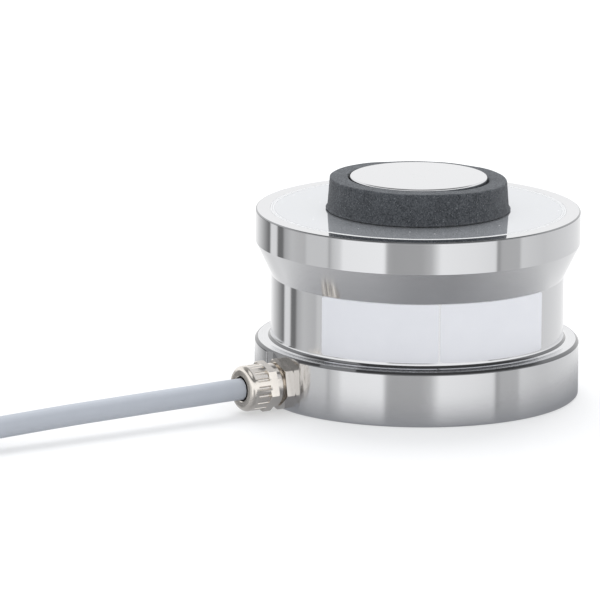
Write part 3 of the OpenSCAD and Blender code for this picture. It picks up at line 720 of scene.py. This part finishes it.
def body_zone(face):
    """Which part of the body's surface a face belongs to, from where it lies."""
    middle = face.calc_center_median() / MM
    radius, height = middle.xy.length, middle.z
    if radius < SEAM_R and height < TOP_Z - 0.5 or height < 0.1:
        return "inside"
    if height > TOP_Z - RIM_EDGE_R:
        if SEAM_R - 0.1 < radius < SEAM_R + SEAM_HALF + GROOVE:
            return "weld"
        # The rim's outer edge gets darker steel, a painted dark reflection
        return "painted_dark_rim_edge" if radius > BODY_R - RIM_EDGE_R else "tops"
    if height < BASE_H - BASE_EDGE_R:
        return "base_side"
    if abs(height - BASE_H) < 0.01 and radius > NECK_R + NECK_FILLET_R:
        return "base_top"
    if height < BASE_H + NECK_FILLET_R:
        # The base's chamfer and the fillet's middle slopes get darker steel, a painted dark reflection
        low, high = PAINTED_DARK_FILLET_SLOPES
        return "painted_dark_edges" if height < BASE_H or low < face.normal.z < high else "fillets"
    if abs(height - RIM_Z) < EDGE_BREAK / 2:
        return "fillets"
    if height < CONE_Z:
        return "neck_side"
    return "cone_side" if height < RIM_Z else "rim_side"


def measuring_body():
    """The turned body, with the milled flat, the cable's entry and the gauge leads' hole."""
    bm = lathe(body_outline())
    map_around(bm)
    bm = combine(bm, block((-BEYOND, -BEYOND, -1), (FLAT_X, BEYOND, BASE_H + 1)), "DIFFERENCE")
    entry = cylinder(ENTRY_R, -ENTRY_L, 2)
    entry.transform(gland_pose())
    bm = combine(bm, entry, "DIFFERENCE")
    r, angle, hole_r = LEAD_HOLE
    lead_hole = cylinder(hole_r, RING_Z - 1, RING_TOP_Z + 1, 24)
    bmesh.ops.translate(lead_hole, verts=lead_hole.verts, vec=(r * cos(angle) * MM, r * sin(angle) * MM, 0))
    bm = combine(bm, lead_hole, "DIFFERENCE")
    bm.normal_update()
    finishes = body_finishes()
    zones = list(finishes)
    for face in bm.faces:
        face.material_index = zones.index(body_zone(face))
    piece = make_piece(bm, "measuring_body_steel", finishes.values(), 20)
    place_piece(piece, "stainless_steel", "measuring_body")


def top_cover():
    """The cover's ring of sheet, with the weld's inner half on its edge."""
    outer = SEAM_R - COVER_GAP
    inner = BUTTON_R + COVER_GAP
    groove_r = SEAM_R - SEAM_HALF
    ledge_z = TOP_Z - COVER_T
    bm = lathe([
        (inner, ledge_z), (outer, ledge_z), (outer, TOP_Z), (groove_r + GROOVE / 2, TOP_Z),
        (groove_r, TOP_Z - GROOVE), (groove_r - GROOVE / 2, TOP_Z), (inner, TOP_Z)
    ])
    for face in bm.faces:
        middle = face.calc_center_median() / MM
        face.material_index = int(middle.xy.length > groove_r - GROOVE and middle.z > TOP_Z - 2 * GROOVE)
    piece = make_piece(bm, "top_cover_sheet", [FINISHES["polished_cover"], FINISHES["weld_seam"]])
    place_piece(piece, "polished_cover", "top_cover")


def waves(terms, angle):
    """A few waves round the axis, added up."""
    return sum(size * sin(count * angle + start) for count, size, start in terms)


def foam_ring():
    """The foam ring was pushed on askew, so it stands higher towards the gland, and it swells unevenly."""
    inner, lip, foot, upper = FOAM_BORE_R, FOAM_LIP_R, FOAM_FOOT_R, FOAM_UPPER_R
    edge_r, height = FOAM_EDGE_R, FOAM_H
    side_h = height - edge_r - FOAM_LIP_H
    # Foot with its flared lip, side, rounded upper edges, and bore
    outline = [(inner, 0), (lip - 1.2, 0), (lip - 0.35, 0.12), (lip, 0.4), (lip - 0.2, 0.62)]
    outline += [(foot + 0.05, 0.95)]
    outline += [(foot + (upper - foot) * s / 6, FOAM_LIP_H + side_h * s / 6) for s in range(1, 6)]
    outline += arc(upper - edge_r, height - edge_r, edge_r, 0, 90, 5)
    outline += [(upper - edge_r - 1.5, height), (inner + edge_r + 1, height)]
    outline += arc(inner + edge_r, height - edge_r, edge_r, 90, 180, 5)
    outline += [(inner, height * s / 6) for s in range(5, 0, -1)]
    bm = lathe(outline, 240)
    for vert in bm.verts:
        angle = atan2(vert.co.y, vert.co.x)
        share = vert.co.z / (height * MM)
        vert.co.z += share * (waves(FOAM_SWELL, angle) * MM - FOAM_TILT * vert.co.x)
        if vert.co.xy.length > (inner + 1) * MM:
            vert.co.xy += vert.co.xy.normalized() * waves(FOAM_PUSH, angle) * MM
    bmesh.ops.translate(bm, verts=bm.verts, vec=(0, 0, TOP_Z * MM))
    piece = make_piece(bm, "foam_dust_ring", [FINISHES["foam"]], 50)
    place_piece(piece, "foam", "foam_ring")


def label(name, node, start):
    """A thin film with rounded corners, bent round the neck."""
    width, height, corner = LABEL_W, LABEL_H, LABEL_CORNER
    bm = bmesh.new()
    outline = []
    for x, z, turn in ((width - corner, corner, -90), (width - corner, height - corner, 0),
                       (corner, height - corner, 90), (corner, corner, 180)):
        outline += arc(x, z, corner, turn, turn + 90, 6)
    face = bm.faces.new([bm.verts.new((x * MM, 0, z * MM)) for x, z in outline])
    for i in range(1, LABEL_CUTS):
        bmesh.ops.bisect_plane(bm, geom=bm.verts[:] + bm.edges[:] + bm.faces[:],
                               plane_co=(width * MM * i / LABEL_CUTS, 0, 0), plane_no=(1, 0, 0))
    sheet = bmesh.ops.extrude_face_region(bm, geom=bm.faces[:])["geom"]
    bmesh.ops.translate(bm, verts=verts_of(sheet), vec=(0, -LABEL_FILM * MM, 0))
    for vert in bm.verts:
        angle = start + vert.co.x / (NECK_R * MM)
        radius = (NECK_R + 0.01) * MM - vert.co.y
        vert.co = (radius * cos(angle), radius * sin(angle), vert.co.z + LABEL_LOW_Z * MM)
    bmesh.ops.recalc_face_normals(bm, faces=bm.faces)
    piece = make_piece(bm, name, [FINISHES["label"]])
    place_piece(piece, "label", node)


def labels():
    label("left_label_film", "label_left", LABEL_SEAM - (LABEL_GAP / 2 + LABEL_W) / NECK_R)
    label("right_label_film", "label_right", LABEL_SEAM + LABEL_GAP / 2 / NECK_R)


def hexagon(length, turn):
    """A hexagon with softened corners and turned chamfers, from 0 up to its length."""
    prism = cylinder(HEX_CORNER_R, 0, length, 6)
    upright = [e for e in prism.edges if abs(e.verts[0].co.z - e.verts[1].co.z) > 1e-6]
    soften(prism, upright, 0.15, 3)
    bmesh.ops.rotate(prism, verts=prism.verts, matrix=Matrix.Rotation(turn + radians(30), 3, "Z"))
    low, high = HEX_CORNER_R - HEX_CHAMFER, HEX_CORNER_R
    turned = lathe([
        (0, 0), (low, 0), (high, HEX_CHAMFER / 2), (high, length - HEX_CHAMFER / 2),
        (low, length), (0, length)
    ], 96)
    return combine(prism, turned, "INTERSECT")


def gland_body():
    """The gland's body: hexagon, threaded tail in the base flange, and the thread under the cap nut."""
    bm = hexagon(BODY_HEX_L, BODY_HEX_TURN)
    tail = [(GLAND_BORE_R, TAIL_Z), (TAIL_R, TAIL_Z)]
    for i in range(TAIL_TURNS):
        z = TAIL_THREAD_Z + i
        tail += [(TAIL_ROOT_R, z), (TAIL_R, z + 0.25), (TAIL_R, z + 0.4), (TAIL_ROOT_R, z + 0.65)]
    tail += [(TAIL_R, -0.5), (TAIL_R, 0.2), (GLAND_BORE_R, 0.2)]
    bm = combine(bm, lathe(tail, 96), "UNION")
    thread = [(GLAND_BORE_R, 0.1), (THREAD_R, 0.1), (THREAD_R, BODY_HEX_L + 0.1)]
    for i in range(CAP_THREAD_TURNS):
        z = BODY_HEX_L + 0.15 + CAP_THREAD_PITCH * i
        thread += [(CAP_THREAD_ROOT_R, z), (THREAD_R, z + 0.2)]
        thread += [(THREAD_R, z + 0.3), (CAP_THREAD_ROOT_R, z + 0.55)]
    thread += [(THREAD_R - 0.3, THREAD_END_Z), (SEAL_SEAT_R, THREAD_END_Z)]
    thread += [(SEAL_SEAT_R, SEAL_SEAT_Z), (GLAND_BORE_R, SEAL_SEAT_Z)]
    bm = combine(bm, lathe(thread, 96), "UNION")
    bm = combine(bm, cylinder(GLAND_BORE_R, -8, 10), "DIFFERENCE")
    bm.transform(gland_pose())
    piece = make_piece(bm, "gland_body_nickel", [FINISHES["nickel_plate"]])
    place_piece(piece, "nickel_plate", "gland_body")
    return piece


def cap_nut():
    """The cap nut: collar, hexagon, and a fluted dome with the cable's opening."""
    collar = [(THREAD_R + 0.05, CAP_Z), (COLLAR_R - 0.25, CAP_Z), (COLLAR_R, CAP_Z + 0.25)]
    collar += [(COLLAR_R, CAP_HEX_Z + 0.5), (THREAD_R + 0.05, CAP_HEX_Z + 0.5)]
    dome = [(INSERT_R + 0.05, DOME_Z - 0.5), (DOME_R, DOME_Z - 0.5)]
    dome += arc(DOME_R - DOME_EDGE_R, CAP_END_Z - DOME_EDGE_R, DOME_EDGE_R, 0, 90, 12)
    dome += [(OPENING_R + 0.2, CAP_END_Z), (OPENING_R, CAP_END_Z - 0.2), (OPENING_R, CAP_INNER_Z)]
    dome += [(INSERT_R + 0.05, CAP_INNER_Z)]
    nut = hexagon(DOME_Z - CAP_HEX_Z, CAP_HEX_TURN)
    bmesh.ops.translate(nut, verts=nut.verts, vec=(0, 0, CAP_HEX_Z * MM))
    nut = combine(nut, cylinder(THREAD_R + 0.05, CAP_HEX_Z - 1, DOME_Z + 0.5, 96), "DIFFERENCE")
    nut = combine(nut, lathe(collar, 128), "UNION")
    nut = combine(nut, lathe(dome, 144), "UNION")
    for i in range(FLUTES):
        flute = cylinder(FLUTE_R, DOME_Z, DOME_Z + FLUTE_L, 20)
        turn = Matrix.Rotation(tau * i / FLUTES, 4, "Z") @ Matrix.Translation(((DOME_R + 0.14) * MM, 0, 0))
        flute.transform(turn)
        nut = combine(nut, flute, "DIFFERENCE")
    nut.transform(gland_pose())
    piece = make_piece(nut, "cap_nut_nickel", [FINISHES["nickel_plate"]])
    place_piece(piece, "nickel_plate", "cap_nut")
    return piece


def clamping_insert():
    """The black ring that presses the seal on the cable, with slots in its inner part."""
    ring = lathe([
        (INSERT_BORE_R, THREAD_END_Z), (INSERT_R, THREAD_END_Z), (INSERT_R, CAP_INNER_Z - 0.05),
        (OPENING_R - 0.05, CAP_INNER_Z - 0.05), (OPENING_R - 0.05, CAP_END_Z - 0.75),
        (OPENING_R - 0.2, CAP_END_Z - 0.5), (INSERT_BORE_R + 0.1, CAP_END_Z - 0.5),
        (INSERT_BORE_R, CAP_END_Z - 0.65)
    ], 96)
    for i in range(INSERT_SLOTS):
        slot = block((INSERT_BORE_R + 0.5, -0.3, THREAD_END_Z - 1), (INSERT_R + 1, 0.3, CAP_INNER_Z - 1.05))
        slot.transform(Matrix.Rotation(tau * i / INSERT_SLOTS, 4, "Z"))
        ring = combine(ring, slot, "DIFFERENCE")
    ring.transform(gland_pose())
    piece = make_piece(ring, "clamping_insert_ring", [FINISHES["black_rubber"]])
    place_piece(piece, "black_rubber", "clamping_insert")
    return piece


def tie_loop(rise):
    """The rounded loop of a coil tie, standing off the coil's turns by rise."""
    inner, outer = COIL_INNER_R - 0.25, COIL_OUTER_R + TIE_GAP
    corner = CABLE_R
    loop = []
    for r, z, turn in ((outer - corner, COIL_TOP - corner, 0), (inner + corner, COIL_TOP - corner, 90),
                       (inner + corner, TIE_T + corner, 180), (outer - corner, TIE_T + corner, 270)):
        loop += arc(r, z, corner + rise, turn, turn + 90, 8)
    return loop


def add_mesh(bm, other):
    """Adds another mesh's faces to this one."""
    mesh = mesh_from(other, "part")
    bm.from_mesh(mesh)
    bpy.data.meshes.remove(mesh)


def tie_strap():
    """One tie's strap, a flat band with rounded edges."""
    strap = bmesh.new()
    rings = []
    for rise in (0, TIE_T):
        corners = [strap.verts.new((r * MM, -TIE_W / 2 * MM, z * MM)) for r, z in tie_loop(rise)]
        rings += [strap.edges.new(pair) for pair in zip(corners, corners[1:] + corners[:1])]
    side = bmesh.ops.bridge_loops(strap, edges=rings)["faces"]
    wide = bmesh.ops.extrude_face_region(strap, geom=side)["geom"]
    bmesh.ops.translate(strap, verts=verts_of(wide), vec=(0, TIE_W * MM, 0))
    bmesh.ops.recalc_face_normals(strap, faces=strap.faces)
    edges = [e for e in strap.edges if e.is_manifold and e.calc_face_angle() > radians(60)]
    soften(strap, edges, 0.22, 2)
    return strap


def coil_ties():
    """Two nylon ties round the coil, each with its head outside and the strap's cut end."""
    face_r = COIL_OUTER_R + TIE_GAP + TIE_T
    middle = COIL_TOP / 2
    tip = TIE_W / 2 - 0.3
    head_top = middle + TIE_HEAD_H
    head = ((face_r - 0.2, -TIE_HEAD_HALF, middle), (face_r + TIE_HEAD_DEPTH, TIE_HEAD_HALF, head_top))
    cut_end = ((face_r + 0.6, -tip, head_top - 0.5), (face_r + 1.5, tip, head_top + 1.5))
    ties = bmesh.new()
    for angle in TIE_ANGLES:
        tie = tie_strap()
        for low, high in (head, cut_end):
            lump = block(low, high)
            soften(lump, lump.edges[:], 0.35, 3)
            add_mesh(tie, lump)
        bmesh.ops.rotate(tie, verts=tie.verts, matrix=Matrix.Rotation(angle, 3, "Z"))
        bmesh.ops.translate(tie, verts=tie.verts, vec=(COIL_CENTRE[0] * MM, COIL_CENTRE[1] * MM, 0))
        add_mesh(ties, tie)
    piece = make_piece(ties, "coil_tie_straps", [FINISHES["tie_plastic"]])
    piece.visible_glossy = False
    place_piece(piece, "tie_plastic", "coil_ties")
    return piece


def along(start, way):
    """Stands local +Z along a way, from a start in millimetres."""
    turn = Vector(way).to_track_quat("Z", "Y").to_matrix().to_4x4()
    return Matrix.Translation(Vector(start) * MM) @ turn


def stripped_end():
    """The cable's far end: a shrunk sleeve, four cores and the shield, each in its wire-end ferrule."""
    tail_end = Vector(TAIL_RUN[-1])
    way = (tail_end - Vector(TAIL_RUN[-2])).normalized()
    side = Vector((0, 0, 1)).cross(way).normalized()
    sleeve_end = tail_end + SLEEVE_L * way
    sleeve = lathe(SLEEVE_OUTLINE, 64)
    sleeve.transform(along(tail_end, way))
    pieces = [make_piece(sleeve, "shrunk_end_sleeve", [FINISHES["shrink_sleeve"]], 40)]
    place_piece(pieces[0], "shrink_sleeve", "end_sleeve")
    collars, pins = bmesh.new(), bmesh.new()
    for color, node, slot, across, up, bend, tip in END_WIRES:
        start = sleeve_end + across * side + Vector((0, 0, up))
        route = [start, start + 2 * way, bend, tip]
        wire = tube_curve(color + "_wire_end", route, CORE_R, FINISHES[slot], 8, 3)
        place_piece(wire, slot, node)
        pieces.append(wire)
        point = (Vector(tip) - Vector(bend)).normalized()
        collar = lathe(COLLAR_OUTLINE, 32)
        collar.transform(along(tip, point))
        add_mesh(collars, collar)
        pin = lathe(PIN_OUTLINE, 24)
        pin.transform(along(tip, point))
        add_mesh(pins, pin)
    for name, bm, slot, node in (("ferrule_sleeves", collars, "ferrule_collar", "ferrule_collars"),
                                 ("crimped_pins", pins, "ferrule_tin", "ferrule_pins")):
        piece = make_piece(bm, name, [FINISHES[slot]], 40)
        place_piece(piece, slot, node)
        pieces.append(piece)
    return pieces


measuring_body()
top_cover()
foam_ring()
labels()
cable_pieces = [gland_body(), cap_nut(), clamping_insert(), coil_ties()] + stripped_end()


# The stage: a plain pale floor and a soft studio

WHITE = (1, 1, 1, 1)
SOFT_LIGHT = (0.86, 0.88, 0.91, 1)
FLOOR_HALF = 6
FLOOR_DROP = 0.00003
FLOOR_OWN_LIGHT = 0.45
FLOOR_PAINT = (0.75, 0.75, 0.75, 1)
FLOOR_SEEN = (0.5, 0.5, 0.5, 1)
# Painted shade: the table near the cell, as the metal mirrors it, is greyer than the floor's paint
MIRRORED_FLOOR_SHADE = (0.46, 0.46, 0.47, 1)
NEAR_FLOOR_R = 0.085
# What the upright metal mirrors, from left of the camera to right: degrees from the camera, and brightness
TABLE_BANDS = (
    (-180, 1.1), (-162, 0.95), (-148, 0.65), (-133, 0.22), (-131, 0.22), (-129, 0.92), (-120.5, 0.9),
    (-118.5, 0.2), (-112, 0.2), (-110.5, 0.5), (-102, 0.67), (-88, 0.6), (-86, 0.74), (-68, 0.74),
    (-66, 0.5), (-64, 0.7), (-58, 0.85), (-55, 1.08), (-24.5, 1.13), (-22, 0.52), (-18, 0.46), (2, 0.48),
    (9, 0.6), (16, 1.08), (40, 1.02), (56, 0.95), (58, 0.34), (61, 0.55), (76, 0.57), (78, 0.82),
    (100, 0.75), (180, 1.05)
)
# The same above the table's level
UPPER_BANDS = ((-180, 0.95), (-60, 1.05), (60, 1.05), (180, 0.95))
# And steeply down, where it mirrors the table top alone
TABLE_TOP = (
    (-180, 1.05), (-110, 0.8), (-50, 0.75), (-10, 0.55), (40, 0.5), (80, 0.7), (120, 0.85), (180, 1.05)
)
# What it mirrors from the floor's level up to the zenith: sine of the height's angle, and brightness
HEIGHT_BANDS = (
    (-1, 0.7), (-0.45, 0.95), (-0.1, 1), (0.1, 1.08), (0.27, 1.12), (0.54, 1.0), (0.6, 0.22), (0.85, 0.2),
    (0.984, 0.22), (0.992, 0.75), (1, 0.85)
)
# The same behind the cell, as seen from the camera
FAR_HEIGHT_BANDS = (
    (-1, 0.7), (-0.45, 0.95), (-0.1, 1), (0.1, 1.08), (0.27, 1.12), (0.6, 1.0), (0.68, 0.4), (0.88, 0.34),
    (0.984, 0.36), (0.992, 0.75), (1, 0.85)
)
# Where these pass into each other: sines of the height's angle, and degrees from the camera
STEEP = (-0.5, -0.35)
LEVEL = (0, 0.03)
SIDEWAYS = (100, 125)


def bands(material, value, stops, low, high):
    """Grey bands along a value, at stops given in the value's own units."""
    ramp = add_node(material, "ShaderNodeValToRGB", {"Fac": spread(material, value, 0, 1, low, high)})
    elements = ramp.color_ramp.elements
    elements.remove(elements[1])
    for i, (place, level) in enumerate(stops):
        share = (place - low) / (high - low)
        element = elements.new(share) if i else elements[0]
        element.position = share
        element.color = (level, level, level, 1)
    return ramp.outputs["Color"]


def studio_light():
    """White to the camera, plain soft light on the object, and a studio of pale and dark bands in metal."""
    world = bpy.data.worlds.new("studio")
    bpy.context.scene.world = world
    world.use_nodes = True
    world.node_tree.nodes.clear()
    rays = add_node(world, "ShaderNodeLightPath").outputs
    toward = add_node(world, "ShaderNodeTexCoord").outputs["Generated"]
    height = add_node(world, "ShaderNodeSeparateXYZ", {"Vector": toward}).outputs["Z"]
    turned = add_node(world, "ShaderNodeVectorRotate", {
        "Vector": toward, "Axis": (0, 0, 1), "Angle": -CAMERA_HEADING - pi
    }, rotation_type="AXIS_ANGLE")
    around = add_node(world, "ShaderNodeSeparateXYZ", {"Vector": turned.outputs["Vector"]}).outputs
    azimuth = add_node(world, "ShaderNodeMath", {0: around["Y"], 1: around["X"]}, operation="ARCTAN2")
    angle = add_node(world, "ShaderNodeMath", {0: azimuth.outputs[0]}, operation="DEGREES").outputs[0]
    low = mix_colors(world, spread(world, height, 0, 1, *STEEP),
                     bands(world, angle, TABLE_TOP, -180, 180), bands(world, angle, TABLE_BANDS, -180, 180))
    side = mix_colors(world, spread(world, height, 0, 1, *LEVEL), low,
                      bands(world, angle, UPPER_BANDS, -180, 180))
    behind = add_node(world, "ShaderNodeMath", {0: angle}, operation="ABSOLUTE").outputs[0]
    rise = mix_colors(world, spread(world, behind, 0, 1, *SIDEWAYS),
                      bands(world, height, HEIGHT_BANDS, -1, 1),
                      bands(world, height, FAR_HEIGHT_BANDS, -1, 1))
    mirrored = mix_colors(world, 1.0, side, rise, blend_type="MULTIPLY")
    lit = mix_colors(world, rays["Is Glossy Ray"], SOFT_LIGHT, mirrored)
    shown = mix_colors(world, rays["Is Camera Ray"], lit, WHITE)
    sky = add_node(world, "ShaderNodeBackground", {"Color": shown, "Strength": 1.0})
    add_node(world, "ShaderNodeOutputWorld", {"Surface": sky.outputs["Background"]})


def bare_material(name):
    """A material without any nodes yet."""
    material = bpy.data.materials.new(name)
    material.use_nodes = True
    material.node_tree.nodes.clear()
    return material


def floor_paint():
    """Pale paint in the object's light. To the camera it is white, with the object's soft shadow on it."""
    material = bare_material("pale_floor")
    rays = add_node(material, "ShaderNodeLightPath").outputs
    paint = add_node(material, "ShaderNodeBsdfDiffuse", {"Color": FLOOR_PAINT})
    shaded = add_node(material, "ShaderNodeBsdfDiffuse", {"Color": FLOOR_SEEN})
    own = add_node(material, "ShaderNodeEmission", {"Color": WHITE, "Strength": FLOOR_OWN_LIGHT})
    both = add_node(material, "ShaderNodeAddShader", {0: shaded.outputs[0], 1: own.outputs[0]})
    mixed = add_node(material, "ShaderNodeMixShader", {
        0: rays["Is Camera Ray"], 1: paint.outputs[0], 2: both.outputs[0]
    })
    add_node(material, "ShaderNodeOutputMaterial", {"Surface": mixed.outputs[0]})
    return material


def mirrored_floor(radius):
    """The table close to the cell as the metal mirrors it, in a grey darker than the floor's paint: painted
    shade on top of the disc's own shading. It is dim at its foot and fades into the studio.
    """
    material = bare_material("mirrored_floor")
    place = add_node(material, "ShaderNodeTexCoord").outputs["Object"]
    away = add_node(material, "ShaderNodeVectorMath", {0: place}, operation="LENGTH").outputs["Value"]
    paint = add_node(material, "ShaderNodeBsdfDiffuse", {"Color": MIRRORED_FLOOR_SHADE})
    clear = add_node(material, "ShaderNodeBsdfTransparent")
    mixed = add_node(material, "ShaderNodeMixShader", {
        0: spread(material, away, 0, 1, BODY_R * MM, radius), 1: paint.outputs[0], 2: clear.outputs[0]
    })
    add_node(material, "ShaderNodeOutputMaterial", {"Surface": mixed.outputs[0]})
    return material


def stage_piece(name, bm, paint):
    mesh = mesh_from(bm, name)
    mesh.materials.append(paint)
    made = add_object(name, mesh)
    return made


def show_in_gloss_only(made):
    for unseen in ("visible_camera", "visible_diffuse", "visible_transmission", "visible_shadow"):
        setattr(made, unseen, False)


def floors():
    """A wide floor, and a disc near the cell that only the metal's gloss sees."""
    bm = bmesh.new()
    bmesh.ops.create_grid(bm, x_segments=1, y_segments=1, size=FLOOR_HALF)
    wide = stage_piece("floor", bm, floor_paint())
    bm = bmesh.new()
    bmesh.ops.create_circle(bm, cap_ends=True, segments=96, radius=NEAR_FLOOR_R)
    near = stage_piece("near_floor", bm, mirrored_floor(NEAR_FLOOR_R))
    for plane in (wide, near):
        plane.location.z = -FLOOR_DROP
    wide.visible_glossy = False
    show_in_gloss_only(near)


def facing(place, aim):
    """The turn that points local -Z from a place at an aim."""
    return (Vector(aim) - Vector(place)).to_track_quat("-Z", "Y").to_euler()


def white_card(name, place, aim, size):
    """A white card over the gland, which only gloss sees."""
    material = bare_material(name)
    glow = add_node(material, "ShaderNodeEmission", {"Color": WHITE, "Strength": 1.0})
    add_node(material, "ShaderNodeOutputMaterial", {"Surface": glow.outputs[0]})
    bm = bmesh.new()
    bmesh.ops.create_grid(bm, x_segments=1, y_segments=1, size=size / 2)
    card = stage_piece(name, bm, material)
    card.location = place
    card.rotation_euler = facing(place, aim)
    show_in_gloss_only(card)


def soft_lamp(name, place, aim, size, power):
    """A round soft lamp, which the metal doesn't mirror."""
    data = bpy.data.lights.new(name, "AREA")
    data.shape = "DISK"
    data.size = size
    data.energy = power
    lamp = add_object(name, data)
    lamp.location = place
    lamp.rotation_euler = facing(place, aim)
    lamp.visible_glossy = False


studio_light()
floors()
white_card("card_over_gland", place=(-0.072, -0.008, 0.055), aim=(-0.056, -0.002, 0.01), size=0.03)
soft_lamp("high_from_behind", place=(0.45, 0.7, 1.25), aim=(0, 0, 0), size=1.2, power=16)

scene = bpy.context.scene
scene.view_settings.view_transform = "Standard"
